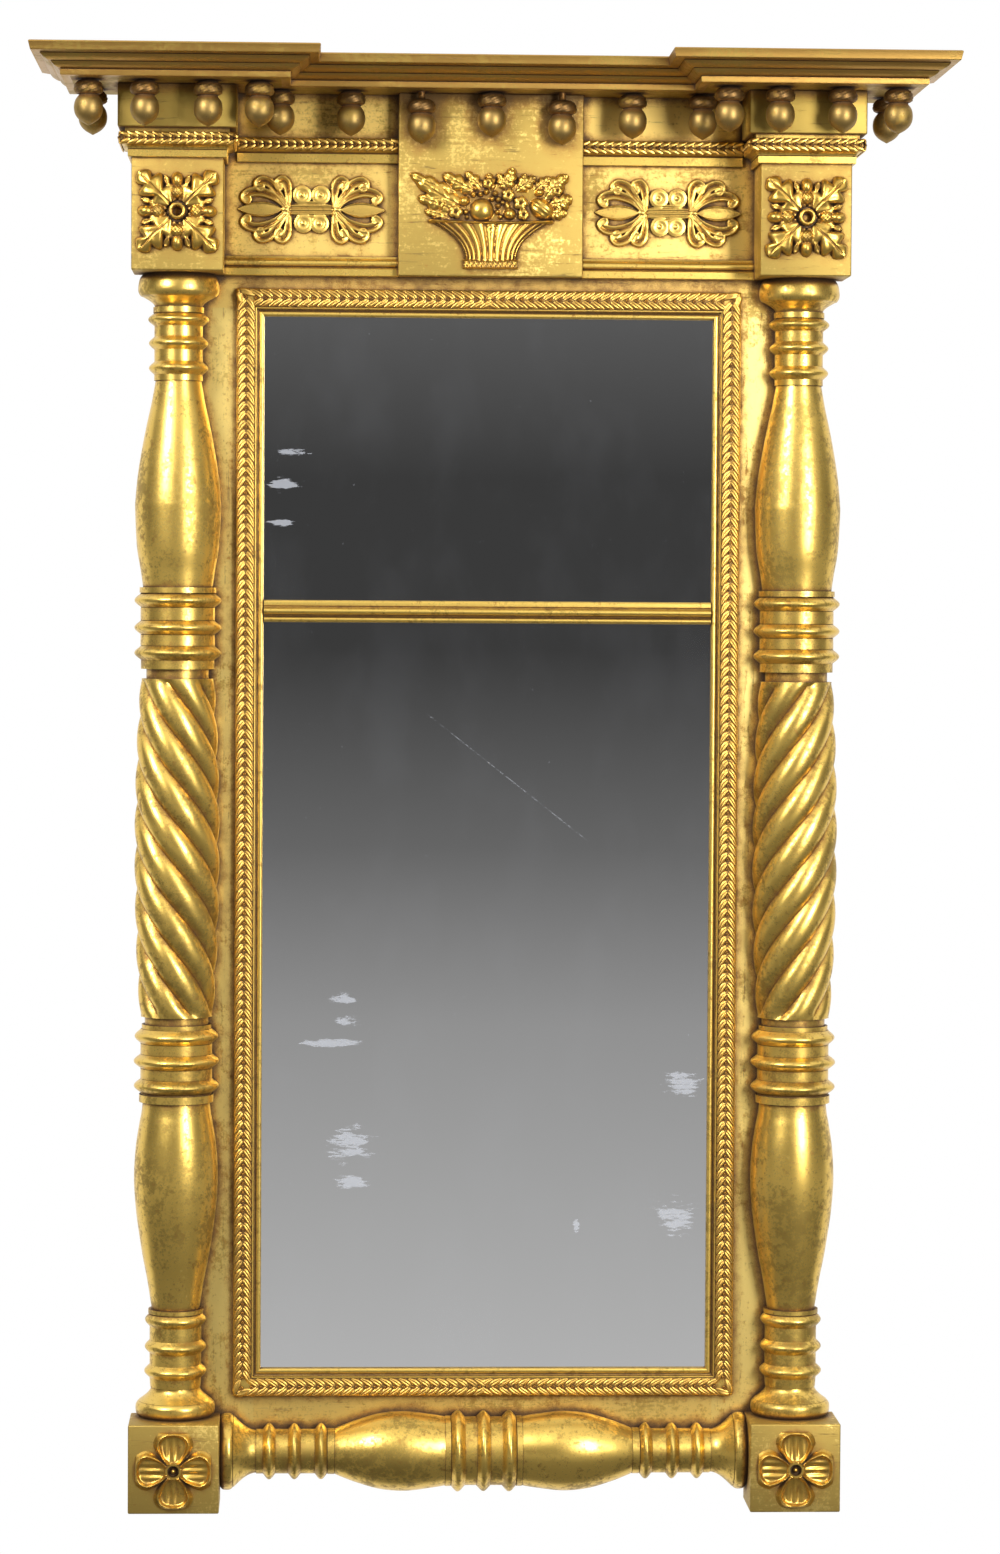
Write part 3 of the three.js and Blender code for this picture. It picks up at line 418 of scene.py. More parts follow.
def finished(obj, finish, nodes, smooth_angle=ROUNDED):
    """Cleans a piece's mesh, gives it its finish and joins it to the frame."""
    mesh = obj.data
    cleaner = bmesh.new()
    cleaner.from_mesh(mesh)
    bmesh.ops.remove_doubles(cleaner, verts=cleaner.verts, dist=MERGE)
    bmesh.ops.dissolve_degenerate(cleaner, edges=cleaner.edges, dist=MERGE)
    bmesh.ops.recalc_face_normals(cleaner, faces=cleaner.faces)
    cleaner.to_mesh(mesh)
    cleaner.free()
    mesh.shade_smooth()
    mesh.set_sharp_from_angle(angle=math.radians(smooth_angle))
    mesh.materials.clear()
    mesh.materials.append(finish)
    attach(obj, BODY)
    if nodes:
        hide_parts(*nodes)
    return obj


def in_scene(name, data):
    """Object at the origin for a mesh, a light or a camera."""
    obj = bpy.data.objects.new(name, data)
    bpy.context.scene.collection.objects.link(obj)
    return obj


def mesh_object(name, points, faces):
    """Object at the origin from points in millimetres."""
    mesh = bpy.data.meshes.new(name)
    mesh.from_pydata([tuple(value * MM for value in point) for point in points], [], faces)
    return in_scene(name, mesh)


def skin(rings, count, start=0):
    """Faces of a closed skin over rings of count points each, and over its two ends."""
    faces = []
    for low in range(start, start + (rings - 1) * count, count):
        for edge in range(count):
            turn = (edge + 1) % count
            faces.append((low + edge, low + turn, low + count + turn, low + count + edge))
    last = start + (rings - 1) * count
    return [*faces, tuple(reversed(range(start, start + count))), tuple(range(last, last + count))]


def softened_block(name, low, high, softening, segments=3):
    """Board or block whose arrises are rounded by gesso."""
    shape = bmesh.new()
    size = [high[axis] - low[axis] for axis in range(3)]
    middle = [(high[axis] + low[axis]) / 2 for axis in range(3)]
    bmesh.ops.create_cube(shape, size=1.0, matrix=Matrix.LocRotScale(
        Vector(middle) * MM, None, Vector(size) * MM))
    bmesh.ops.bevel(shape, geom=shape.edges[:], offset=softening * MM, segments=segments,
                    profile=0.5, affect="EDGES")
    mesh = bpy.data.meshes.new(name)
    shape.to_mesh(mesh)
    shape.free()
    return in_scene(name, mesh)


def shares(steps):
    """From 0 to 1 in equal steps."""
    return [step / steps for step in range(steps + 1)]


# ---- Turnings ------------------------------------------------------------------------------------
BEAD_STEPS, COVE_STEPS, DISC_STEPS, TWIST_STEPS = 12, 8, 10, 96
BEAD_FULLNESS = 1.25  # 1 is a sine wave, more gives a narrower bead with softer quirks
DISC_ROUNDING = 3.2  # how far a disc's edges are rounded off, and how sharply
TWIST_FADE = 9  # the strands die away over this length at each end
STRANDS = 6


def through(knots, steps=6):
    """Smooth curve through knots of (distance, radius)."""
    padded = [knots[0], *knots, knots[-1]]
    curve = []
    for before, start, end, after in zip(padded, padded[1:], padded[2:], padded[3:]):
        for step in range(steps):
            t = step / steps
            curve.append(tuple(
                0.5 * (2 * s + (e - b) * t + (2 * b - 5 * s + 4 * e - a) * t * t
                       + (3 * s - b - 3 * e + a) * t ** 3)
                for b, s, e, a in zip(before, start, end, after)))
    return [*curve, knots[-1]]


def turned_profile(features):
    """Profile points (distance, radius, strand depth share, turns) of a list of turned features."""
    profile = []
    at = 0.0
    for shape, span, *radii in features:
        if shape == "plain":
            points = [(0, radii[0]), (span, radii[-1])]
        elif shape == "bead":
            root, crest = radii
            points = [(span * t, root + (crest - root) * math.sin(math.pi * t) ** BEAD_FULLNESS)
                      for t in shares(BEAD_STEPS)]
        elif shape == "cove":
            low, high = sorted(radii)
            rising = radii[1] > radii[0]
            points = [(span * t, high - (high - low) * math.cos((t if rising else 1 - t) * math.pi / 2))
                      for t in shares(COVE_STEPS)]
        elif shape == "disc":
            foot, head = radii
            points = [(span * t, foot + (head - foot) * t
                       - DISC_ROUNDING * abs(2 * t - 1) ** DISC_ROUNDING) for t in shares(DISC_STEPS)]
        elif shape == "vase":
            points = through(radii[0])
        elif shape == "twist":
            points = []
            profile += twisted_profile(at, span, *radii)
        profile += [(at + distance, radius, 0.0, 0.0) for distance, radius in points]
        at += span
    return profile


def twisted_profile(at, span, end_radius, middle_radius, turns):
    """Swelling shaft whose strands die away at both ends."""
    points = []
    for t in shares(TWIST_STEPS):
        swell = (middle_radius - end_radius) * max(0.0, math.sin(math.pi * t)) ** 0.6
        fade = min(1.0, min(t, 1 - t) * span / TWIST_FADE) ** 0.5
        points.append((at + span * t, end_radius + swell, fade, turns * t))
    return points


def groove_share(angles):
    """Share of the twist's depth cut away round the shaft: full strands with a fillet between them."""
    phase = np.abs((angles * STRANDS / (2 * math.pi)) % 1 - 0.5) * 2
    roll = 1 - np.clip(1 - (phase / 0.98) ** 2.1, 0, 1) ** 0.62
    fillet = 0.78 - 0.16 * np.cos((phase - 0.9) / 0.1 * math.pi / 2)
    return np.where(phase < 0.86, np.minimum(roll, 0.78), np.minimum(fillet, 0.92))


def turned(name, node, profile, place, depth=0.0):
    """Turning whose back is planed flat on the boards. place(along, across, behind the axis)."""
    sides = settings().turning_sides
    angles = np.arange(sides) * 2 * math.pi / sides
    groove = depth * groove_share(angles)
    points = []
    for distance, radius, share, turns in profile:
        reach = radius - share * groove
        around = angles + 2 * math.pi * turns
        behind = np.minimum(BOARD_FRONT - TURNING_Y, reach * np.sin(around))
        points.extend(place(distance, a, b) for a, b in zip(reach * np.cos(around), behind))
    return finished(mesh_object(name, points, skin(len(profile), sides)),
                    gilding("burnished_water_gilding"), [node])


LOWER_VASE = [(0, 21), (25.4, 25), (46.9, 29.2), (67.9, 32.5), (88.9, 35.3), (115.9, 37),
              (142.9, 35.6), (163.9, 32.5), (173.9, 30.6), (183.9, 29.5)]
UPPER_VASE = [(0, 30.5), (15, 32.6), (36, 36), (67, 37.6), (78, 37.3), (99, 35.3), (120, 32),
              (141, 28), (162, 23.4), (181, 20)]
COLUMN_FEATURES = [
    ("disc", 14, 35.0, 35.2), ("cove", 12, 32.4, 21.6), ("plain", 8.2, 22.2, 22.8),
    ("bead", 11.8, 22.8, 27.5), ("plain", 9.9, 22.8), ("bead", 11.8, 22.8, 27.1), ("plain", 12.0, 22.8),
    ("bead", 11.8, 22.8, 26.9), ("plain", 3.6, 24.1), ("vase", 183.9, LOWER_VASE),
    ("plain", 6.6, 32.8), ("plain", 1.0, 31.2), ("bead", 13, 31.2, 37.4), ("plain", 8.8, 31.6),
    ("bead", 13, 31.2, 37.6), ("plain", 9.0, 31.6), ("bead", 13, 31.2, 36.8), ("plain", 4.1, 30.6),
    ("plain", 7, 27.9), ("twist", 297.5, 31.5, 37.4, 297.5 / 228), ("plain", 8.5, 27.4),
    ("plain", 7.5, 32.2), ("bead", 13, 32.0, 38), ("plain", 9.3, 32.6), ("bead", 13, 32.0, 38),
    ("plain", 10.9, 32.6), ("bead", 13, 32.0, 38), ("plain", 4.8, 33.5), ("vase", 181, UPPER_VASE),
    ("plain", 5.1, 21.3), ("bead", 11.6, 21.2, 26.0), ("plain", 10.2, 21.2), ("bead", 11.6, 21.2, 26.0),
    ("plain", 9.1, 21.2), ("bead", 11.6, 21.2, 26.7), ("plain", 4.9, 22.2), ("cove", 9.6, 20.8, 32.6),
    ("disc", 19.4, 36.4, 34.0),
]
SPINDLE_VASE = [(0, 30.4), (14, 32.6), (36, 35), (58, 33.2), (78, 27.6), (92, 22.4), (98, 19.7)]
SPINDLE_FEATURES = [
    ("plain", 10.5, 30.2), ("bead", 13, 30.2, 35.8), ("plain", 4.6, 31), ("vase", 98, SPINDLE_VASE),
    ("plain", 6.0, 20.2), ("bead", 11.5, 19.4, 24.8), ("plain", 12.0, 19.6), ("bead", 11.5, 19.4, 24.8),
    ("plain", 10.8, 19.6), ("bead", 11.5, 19.4, 24.8), ("plain", 5.6, 19.6), ("cove", 20, 18.8, 31.5),
    ("disc", 12, 33.8, 33.8),
]
SPINDLE_MIDDLE = [("bead", 11.5, 31, 35.5)]


class PIERMIRROR_OT_columns(bpy.types.Operator):
    """Turn the two split columns with their rope twists"""

    bl_idname = "pier_mirror.columns"
    bl_label = "Columns"

    def execute(self, context):
        profile = turned_profile(COLUMN_FEATURES)
        stretch = (COLUMN_HIGH.z - COLUMN_LOW.z) / profile[-1][0]
        for side, sign in SIDES:
            turned(f"{side}_turned_column", f"{side}_column", profile,
                   lambda along, across, behind, sign=sign: (
                       sign * (COLUMN_X + across), TURNING_Y + behind, COLUMN_LOW.z + along * stretch),
                   settings().twist_depth / MM)
        return {"FINISHED"}


class PIERMIRROR_OT_spindle(bpy.types.Operator):
    """Turn the bottom rail's split spindle"""

    bl_idname = "pier_mirror.spindle"
    bl_label = "Bottom spindle"

    def execute(self, context):
        low, high = corners("bottom_spindle")
        axis = (low.z + high.z) / 2
        middle = turned_profile(SPINDLE_MIDDLE)
        reach = middle[-1][0] / 2
        half = [(distance + reach, *rest) for distance, *rest in turned_profile(SPINDLE_FEATURES)]
        stretch = high.x / half[-1][0]
        profile = [*((-distance, *rest) for distance, *rest in reversed(half)),
                   *((distance - reach, *rest) for distance, *rest in middle), *half]
        turned("turned_bottom_spindle", "bottom_spindle", profile, lambda along, across, behind: (
            along * stretch, TURNING_Y + behind, axis + across))
        return {"FINISHED"}


# ---- Swept mouldings -----------------------------------------------------------------------------
def swept(name, profile, path, place, before=None, after=None):
    """Moulding along a path with mitred corners.

    profile is a closed ring of (out, up). out lies to the right of the way the path runs.
    before and after are the directions of the runs that the ends are mitred to.
    """
    ways = [Vector(b) - Vector(a) for a, b in zip(path, path[1:])]
    ways = [Vector(before) if before else ways[0], *ways, Vector(after) if after else ways[-1]]
    points = []
    for (a, b), arriving, leaving in zip(path, ways, ways[1:]):
        left, right = (Vector((way.y, -way.x)).normalized() for way in (arriving, leaving))
        mitre = (left + right) / (1 + left.dot(right))
        points.extend(place(a + mitre.x * out, b + mitre.y * out, up) for out, up in profile)
    return mesh_object(name, points, skin(len(path), len(profile)))


def arc(centre, radius_out, radius_up, start, end, steps=6):
    """Points of an elliptical arc between two angles in degrees."""
    angles = [math.radians(start + (end - start) * t) for t in shares(steps)]
    return [(centre[0] + radius_out * math.cos(a), centre[1] + radius_up * math.sin(a)) for a in angles]


def outside_on_left(profile):
    return [(-out, up) for out, up in profile]


def on_boards(a, b, up):
    """Place of a run over the face of the boards."""
    return (a, BOARD_FRONT - up, b)


def in_plan(sign, foot, wall=0.0):
    """Place of a level run on one side of the mirror, up from foot and out from wall."""
    return lambda a, b, up: (sign * a, wall + b, foot + up)


SIGHT_OUTER = -corners("left_sight_moulding")[0].x
SIGHT_FOOT = corners("bottom_sight_moulding")[0].z
SIGHT_HEAD = corners("top_sight_moulding")[1].z
SIGHT_RING = [(SIGHT_OUTER, SIGHT_FOOT), (-SIGHT_OUTER, SIGHT_FOOT),
              (-SIGHT_OUTER, SIGHT_HEAD), (SIGHT_OUTER, SIGHT_HEAD)]
LEAF_BAND_MIDDLE = 8.4  # from the sight moulding's outer edge to the leaf band's centre line
LEAF_BAND_RISE = 7.9

SIGHT_PROFILE = [
    (0, 0), (0, 5.2), (0.4, 6.0), *arc((LEAF_BAND_MIDDLE, 6.6), 7.6, 1.2, 172, 8, 10),
    (16.0, 5.6), (16.1, 7.2), (16.7, 7.8), (17.5, 7.7), (17.9, 7.0), (18.1, 4.6), (19.4, 3.9),
    (19.8, 5.0), *arc((22.0, 4.4), 2.2, 1.6, 160, 10, 6), (24.3, 3.4), (24.5, 0),
]
BAR_LOW, BAR_HIGH = corners("divider_bar")
BAR_WIDTH = BAR_HIGH.z - BAR_LOW.z
BAR_PROFILE = [
    (0, 0), (0, 4.6), (0.6, 5.6), (1.6, 6.0), (4.6, 6.0), (5.6, 5.2), (6.4, 5.6),
    *arc((9.6, 5.8), 3.0, 3.9, 180, 0, 8), (13.2, 4.4), (14.2, 4.2),
    *arc((BAR_WIDTH - 2.6, 4.0), 2.4, 2.5, 180, 0, 6), (BAR_WIDTH, 3.0), (BAR_WIDTH, 0),
]


class PIERMIRROR_OT_sight_moulding(bpy.types.Operator):
    """Run the sight moulding round the glass and the divider bar across it"""

    bl_idname = "pier_mirror.sight_moulding"
    bl_label = "Sight moulding and divider bar"

    def execute(self, context):
        finish = gilding("gilding_on_mouldings")
        for i, name in enumerate(("bottom", "left", "top", "right")):
            earlier, start, end, later = (Vector(SIGHT_RING[(i + step) % 4]) for step in (-1, 0, 1, 2))
            run = swept(f"{name}_run_sight_moulding", SIGHT_PROFILE, [start, end], on_boards,
                        start - earlier, later - end)
            finished(run, finish, [f"{name}_sight_moulding"], smooth_angle=RUN)
        bar = swept("run_divider_bar", BAR_PROFILE, [(BAR_LOW.x, BAR_HIGH.z), (BAR_HIGH.x, BAR_HIGH.z)],
                    on_boards)
        finished(bar, finish, ["divider_bar"], smooth_angle=RUN)
        return {"FINISHED"}


CROWN_BACK = -8  # the cornice's mouldings go this far in under its board
CORONA_HEIGHT = 5.8
CROWN_MEMBERS = ((0.8, 7.6, 5.6), (9.0, 16.2, 5.8))  # foot and head of each slope, and its height
CROWN_BULGE = 0.9
TOP_FACE = (23.2, 25.6, 9.3)  # foot, head and height of the top member
CROWN_PROJECTION = 26


def crown_profile():
    """Upright corona, two sloping members with quirks over them, and the top member."""
    profile = [(CROWN_BACK, 0), (-0.8, 0), (-0.2, 0.3), (0, 0.9), (0, CORONA_HEIGHT - 0.8),
               (-0.6, CORONA_HEIGHT - 0.2)]
    level = CORONA_HEIGHT
    for foot, head, tall in CROWN_MEMBERS:
        for t in shares(5):
            bulge = CROWN_BULGE * math.sin(math.pi * t)
            profile.append((foot + (head - foot) * t + bulge, level + (tall - 0.5) * t - 0.25 * bulge))
        profile.append((head - 0.9, level + tall))
        level += tall
    foot, head, tall = TOP_FACE
    return [*profile, (foot - 5.6, level + 0.2), (foot - 1.2, level + 0.9),
            *arc((foot, level + 2.0), 0.9, 1.0, -70, 0, 3),
            (head - 0.3, level + tall - 2.2), (head, level + tall - 1.4),
            (head - 0.5, level + tall - 0.4), (head - 1.6, level + tall), (CROWN_BACK, level + tall)]


class PIERMIRROR_OT_cornice(bpy.types.Operator):
    """Run the stepped cornice with its mitred end sections"""

    bl_idname = "pier_mirror.cornice"
    bl_label = "Cornice"

    def execute(self, context):
        # The cornice's leaf is painted darker as shade on its down-facing members.
        finish = gilding("thin_and_shaded_gilding_on_cornice")
        profile = outside_on_left(crown_profile())
        low, high = corners("right_cornice_moulding")
        outer, front = high.x - CROWN_PROJECTION, low.y + CROWN_PROJECTION
        inner = 2 * COLUMN_X - outer
        centre = corners("centre_cornice_moulding")[0].y + CROWN_PROJECTION
        path = [(outer, 0), (outer, front), (inner, front), (inner, centre)]
        for side, sign in SIDES:
            run = swept(f"{side}_run_cornice", profile, path, in_plan(sign, SOFFIT), None, (-1, 0))
            finished(run, finish, [f"{side}_cornice_moulding"])
        middle = swept("centre_run_cornice", profile, [(inner, centre), (-inner, centre)],
                       in_plan(1, SOFFIT), (0, 1), (0, -1))
        finished(middle, finish, ["centre_cornice_moulding"])
        return {"FINISHED"}


CAP_FOOT = corners("right_cap_moulding")[0].z
CAP_HEIGHT = corners("right_fascia_block")[0].z - CAP_FOOT
CAP_PROFILE = [
    (0, 0), (2.4, 0), (3.0, 0.6), (3.0, 6.2), (2.4, 6.9),
    *((3.0 + 5.2 * (1 - math.cos(t)), 7.2 + 3.6 * math.sin(t))
      for t in map(math.radians, (0, 22, 45, 67, 90))),
    (8.4, 11.2), (9.1, 12.2), (9.4, 13.8), (9.4, 17.8), (9.1, 19.4), (8.0, 20.6), (5.4, 21.4),
    (5.4, CAP_HEIGHT), (0, CAP_HEIGHT),
]
CAP_BAND, CAP_BAND_OUT = 15.8, 9.6  # its leaf band's centre line above its foot and out from the block
FRIEZE_PROFILES = {
    "frieze_leaf_moulding": [
        (0, 0), (3.4, 0), (4.0, 0.6), (4.0, 7.6), (3.2, 8.6), (4.2, 9.4), (6.6, 10.0), (7.7, 11.4),
        (8.0, 13.4), (8.0, 17.8), (7.7, 19.8), (6.6, 21.2), (3.0, 22.0), (0, 22.4),
    ],
    "frieze_base_band": [
        (0, 0), (9.4, 0), (10, 0.6), (10, 6.2), (9.4, 6.9), (6.6, 7.2), (6.0, 7.8),
        *arc((4.4, 11.3), 2.4, 3.2, -70, 70, 5), (4.4, 15.2), (3.0, 15.8), (2.2, 17.5), (0, 17.5),
    ],
}
FRIEZE_BAND, FRIEZE_BAND_OUT = 15.6, 8.2  # the same of the frieze's leaf band, out from the boards


class PIERMIRROR_OT_block_caps(bpy.types.Operator):
    """Run the cap mouldings round the frieze blocks and the mouldings along the panels"""

    bl_idname = "pier_mirror.block_caps"
    bl_label = "Cap and frieze mouldings"

    def execute(self, context):
        finish = gilding("gilding_on_mouldings")
        path = [(FRIEZE_HIGH.x, BOARD_FRONT), (FRIEZE_HIGH.x, FRIEZE_LOW.y),
                (FRIEZE_LOW.x, FRIEZE_LOW.y), (FRIEZE_LOW.x, BOARD_FRONT)]
        for side, sign in SIDES:
            run = swept(f"{side}_run_cap", outside_on_left(CAP_PROFILE), path, in_plan(sign, CAP_FOOT))
            finished(run, finish, [f"{side}_cap_moulding"], smooth_angle=RUN)
        for node, profile in FRIEZE_PROFILES.items():
            low, high = corners(f"right_{node}")
            for side, sign in SIDES:
                run = swept(f"{side}_run_{node}", outside_on_left(profile), [(high.x, 0), (low.x, 0)],
                            in_plan(sign, low.z, BOARD_FRONT))
                finished(run, finish, [f"{side}_{node}"], smooth_angle=RUN)
        return {"FINISHED"}


# ---- Ornament that repeats -----------------------------------------------------------------------
SLIGHT_TURN = (0.0, 0.0, 0.6)  # radians either way about a stamp's own axis
TURN_SEED = 4


def stamping_tree(on_a_path):
    """Geometry Nodes: stamps along a path whose attributes turn them, or else one on each point."""
    name, amount = ("stamps_along_a_path", "Pitch") if on_a_path else ("stamps_on_points", "Size")
    if name in bpy.data.node_groups:
        return bpy.data.node_groups[name]
    tree = bpy.data.node_groups.new(name, "GeometryNodeTree")
    for socket, way, kind in (("Path", "INPUT", "Geometry"), ("Stamp", "INPUT", "Object"),
                              (amount, "INPUT", "Float"), ("Finish", "INPUT", "Material"),
                              ("Pieces", "OUTPUT", "Geometry")):
        tree.interface.new_socket(name=socket, in_out=way, socket_type=f"NodeSocket{kind}")
    add = partial(add_node, tree)
    given = add("NodeGroupInput").outputs
    stamp = add("GeometryNodeObjectInfo", {"Object": given["Stamp"]}).outputs["Geometry"]
    if on_a_path:
        route = add("GeometryNodeMeshToCurve", {"Mesh": given["Path"]})
        outward, along = (
            add("GeometryNodeInputNamedAttribute", {"Name": attribute}, data_type="FLOAT_VECTOR")
            for attribute in ("outward", "along"))
        placed = {
            "Points": add("GeometryNodeResampleCurve", {"Curve": route, "Length": given[amount]},
                          mode="LENGTH"),
            "Rotation": add("FunctionNodeAxesToRotation", {
                "Primary Axis": outward, "Secondary Axis": along},
                primary_axis="Z", secondary_axis="Y"),
        }
    else:
        placed = {
            "Points": given["Path"], "Scale": given[amount],
            "Rotation": add("FunctionNodeRandomValue", {
                "Min": tuple(-angle for angle in SLIGHT_TURN), "Max": SLIGHT_TURN,
                "Seed": TURN_SEED}, data_type="FLOAT_VECTOR"),
        }
    copies = add("GeometryNodeInstanceOnPoints", {"Instance": stamp, **placed})
    solid = add("GeometryNodeRealizeInstances", {"Geometry": copies})
    add("NodeGroupOutput", {"Pieces": add("GeometryNodeSetMaterial", {
        "Geometry": solid, "Material": given["Finish"]})})
    return tree


def grown(name, tree, runs, stamp, finish, **amounts):
    """Plain mesh object that a tree makes. runs holds (points, along, outward) in millimetres."""
    points, edges, along, outward = [], [], [], []
    for run, way, out in runs:
        edges += [(len(points) + i, len(points) + i + 1) for i in range(len(run) - 1)]
        points += [tuple(value * MM for value in point) for point in run]
        along += [way] * len(run)
        outward += [out] * len(run)
    guide = bpy.data.meshes.new(name)
    guide.from_pydata(points, edges, [])
    for attribute, vectors in (("along", along), ("outward", outward)):
        layer = guide.attributes.new(attribute, "FLOAT_VECTOR", "POINT")
        layer.data.foreach_set("vector", [value for vector in vectors for value in vector])
    source = in_scene(name + "_guide", guide)
    modifier = source.modifiers.new("stamps", "NODES")
    modifier.node_group = tree
    values = {"Stamp": stamp, "Finish": finish, **amounts}
    for item in tree.interface.items_tree:
        if item.in_out == "INPUT" and item.name in values:
            modifier[item.identifier] = values[item.name]
    bpy.context.view_layer.update()
    depsgraph = bpy.context.evaluated_depsgraph_get()
    mesh = bpy.data.meshes.new_from_object(source.evaluated_get(depsgraph))
    source.modifiers.remove(modifier)
    bpy.data.objects.remove(source)
    bpy.data.objects.remove(stamp)
    if not mesh.polygons:
        raise RuntimeError(f"{name} came out empty")
    mesh.name = name
    return in_scene(name, mesh)


LEAF_STEPS = 6  # from a leaf's root to its tip
LEAF_SIDES = ((-1, -0.3), (-0.62, 0.8), (-0.2, 0.95), (0, 1), (0.2, 0.95), (0.62, 0.85), (1, -0.3))
BEAD_SIDES = 8
BEAD_RINGS = ((0.17, 0.2), (0.17, 1.0), (0.11, 1.35), (0.05, 0.85))  # radius and height
SIGHT_LEAF, CAP_LEAF = (15.2, 1.3, 0.45), (10.6, 1.5, 0.0)  # width of a pair, rise and depth of midrib


def leaf_pair_stamp(width, rise, groove, pitch):
    """Two broad leaves in a chevron along +Y, each lying over the next, with a bead between them."""
    points, faces = [], []
    for side in (-1, 1):
        leaf = skin(LEAF_STEPS + 1, len(LEAF_SIDES), len(points))
        faces += leaf if side > 0 else [tuple(reversed(face)) for face in leaf]
        for t in shares(LEAF_STEPS):
            out = width * (0.05 + 0.44 * t)
            back = pitch * (0.72 - 1.15 * t ** 1.25)
            half = pitch * 0.40 * math.sin(math.pi * (0.16 + 0.74 * t)) ** 0.6
            crown = rise * (0.6 + 0.4 * math.sin(math.pi * t))
            for across, share in LEAF_SIDES:
                tall = crown * (share if across else share - groove) - 0.5 * t * t
                points.append((side * (out + half * across * 0.45), back + half * across, tall))
    faces += skin(len(BEAD_RINGS), BEAD_SIDES, len(points))
    for radius, height in BEAD_RINGS:
        for step in range(BEAD_SIDES):
            angle = 2 * math.pi * step / BEAD_SIDES
            points.append((pitch * radius * math.cos(angle), pitch * (radius * math.sin(angle) + 0.1),
                           rise * height))
    return mesh_object("leaf_pair_stamp", points, faces)


def leaf_band(name, leaf, pitch, runs):
    """Band of pressed leaves laid along runs of (points, along, outward)."""
    finish = gilding("gilding_on_pressed_leaf_bands")
    band = grown(name, stamping_tree(True), runs, leaf_pair_stamp(*leaf, pitch), finish, Pitch=pitch * MM)
    finished(band, finish, [], smooth_angle=SOFT)


class PIERMIRROR_OT_leaf_bands(bpy.types.Operator):
    """Lay the bands of paired leaves on the sight, cap and frieze mouldings"""

    bl_idname = "pier_mirror.leaf_bands"
    bl_label = "Leaf bands"

    def execute(self, context):
        pitch = settings().leaf_pitch / MM
        side = SIGHT_OUTER - LEAF_BAND_MIDDLE
        foot, head = SIGHT_FOOT + LEAF_BAND_MIDDLE, SIGHT_HEAD - LEAF_BAND_MIDDLE
        level = BOARD_FRONT - LEAF_BAND_RISE
        forwards, inset = (0, -1, 0), pitch * 0.9
        runs = [([(sign * side, level, foot + inset), (sign * side, level, head - inset)], (0, 0, 1),
                 forwards) for sign in (-1, 1)]
        runs += [([(sign * (side - inset), level, height), (sign * pitch / 2, level, height)],
                  (-sign, 0, 0), forwards) for sign in (-1, 1) for height in (foot, head)]
        slant = math.sqrt(0.5)  # one pair lies across each mitre
        runs += [([(sign * side, level, height), (sign * (side + 1), level, height + up)],
                  (sign * slant, 0, up * slant), forwards)
                 for sign in (-1, 1) for height, up in ((foot, -1), (head, 1))]
        leaf_band("sight_leaf_band", SIGHT_LEAF, pitch, runs)

        height = CAP_FOOT + CAP_BAND
        front = FRIEZE_LOW.y - CAP_BAND_OUT
        outer, inner = FRIEZE_HIGH.x + CAP_BAND_OUT, FRIEZE_LOW.x - CAP_BAND_OUT
        corner = 3  # the bands stop this far from a corner or an end
        low, high = corners("right_frieze_leaf_moulding")
        panel, panel_height = BOARD_FRONT - FRIEZE_BAND_OUT, low.z + FRIEZE_BAND
        for name, sign in SIDES:
            inwards, outwards = (-sign, 0, 0), (sign, 0, 0)
            leaf_band(f"{name}_cap_leaf_band", CAP_LEAF, settings().cap_leaf_pitch / MM, [
                ([(sign * (outer - corner), front, height), (sign * (inner + corner), front, height)],
                 inwards, forwards),
                ([(sign * outer, BOARD_FRONT - 4, height), (sign * outer, front + corner, height)],
                 forwards, outwards),
                ([(sign * inner, BOARD_FRONT - 14, height), (sign * inner, front + corner, height)],
                 forwards, inwards),
                ([(sign * (high.x - corner), panel, panel_height),
                  (sign * (low.x + corner), panel, panel_height)], inwards, forwards),
            ])
        return {"FINISHED"}


# ---- Acorns --------------------------------------------------------------------------------------
ACORN_SIDES, ACORN_LENGTH = 40, 39.5
ACORN_CAP = [(-7, 3), (0.3, 3.1), (0.7, 6.4), (1.8, 9.0), (3.6, 11.0), (6.0, 12.2), (8.6, 12.5),
             (10.8, 12.0), (12.2, 10.6), (12.9, 9.0)]
ACORN_NUT = [(12.2, 7.6), (13.4, 8.2), (14.4, 8.8), (16.4, 10.4), (19.0, 11.7), (22.4, 12.4), (26.0, 12.4),
             (29.6, 11.6), (32.8, 9.8), (35.4, 7.2), (37.2, 4.6), (38.3, 2.5), (39.0, 1.3),
             (ACORN_LENGTH, 0.3)]
SCALE_RELIEF, SCALES_ROUND, SCALY = 0.5, 10, (1.2, 12.0)  # depth, number round, and first and last drop


def acorn_stamp(name, curve):
    """Cap or nut of an acorn that hangs from z = 0, with rows of scales where it is a cap."""
    points = []
    for row, (drop, radius) in enumerate(curve):
        relief = SCALE_RELIEF if SCALY[0] < drop < SCALY[1] else 0.0
        for side in range(ACORN_SIDES):
            angle = 2 * math.pi * side / ACORN_SIDES
            reach = radius + relief * math.cos(angle * SCALES_ROUND + (row % 4) * math.pi / 2)
            points.append((reach * math.cos(angle), reach * math.sin(angle), -drop))
    return mesh_object(name, points, skin(len(curve), ACORN_SIDES))


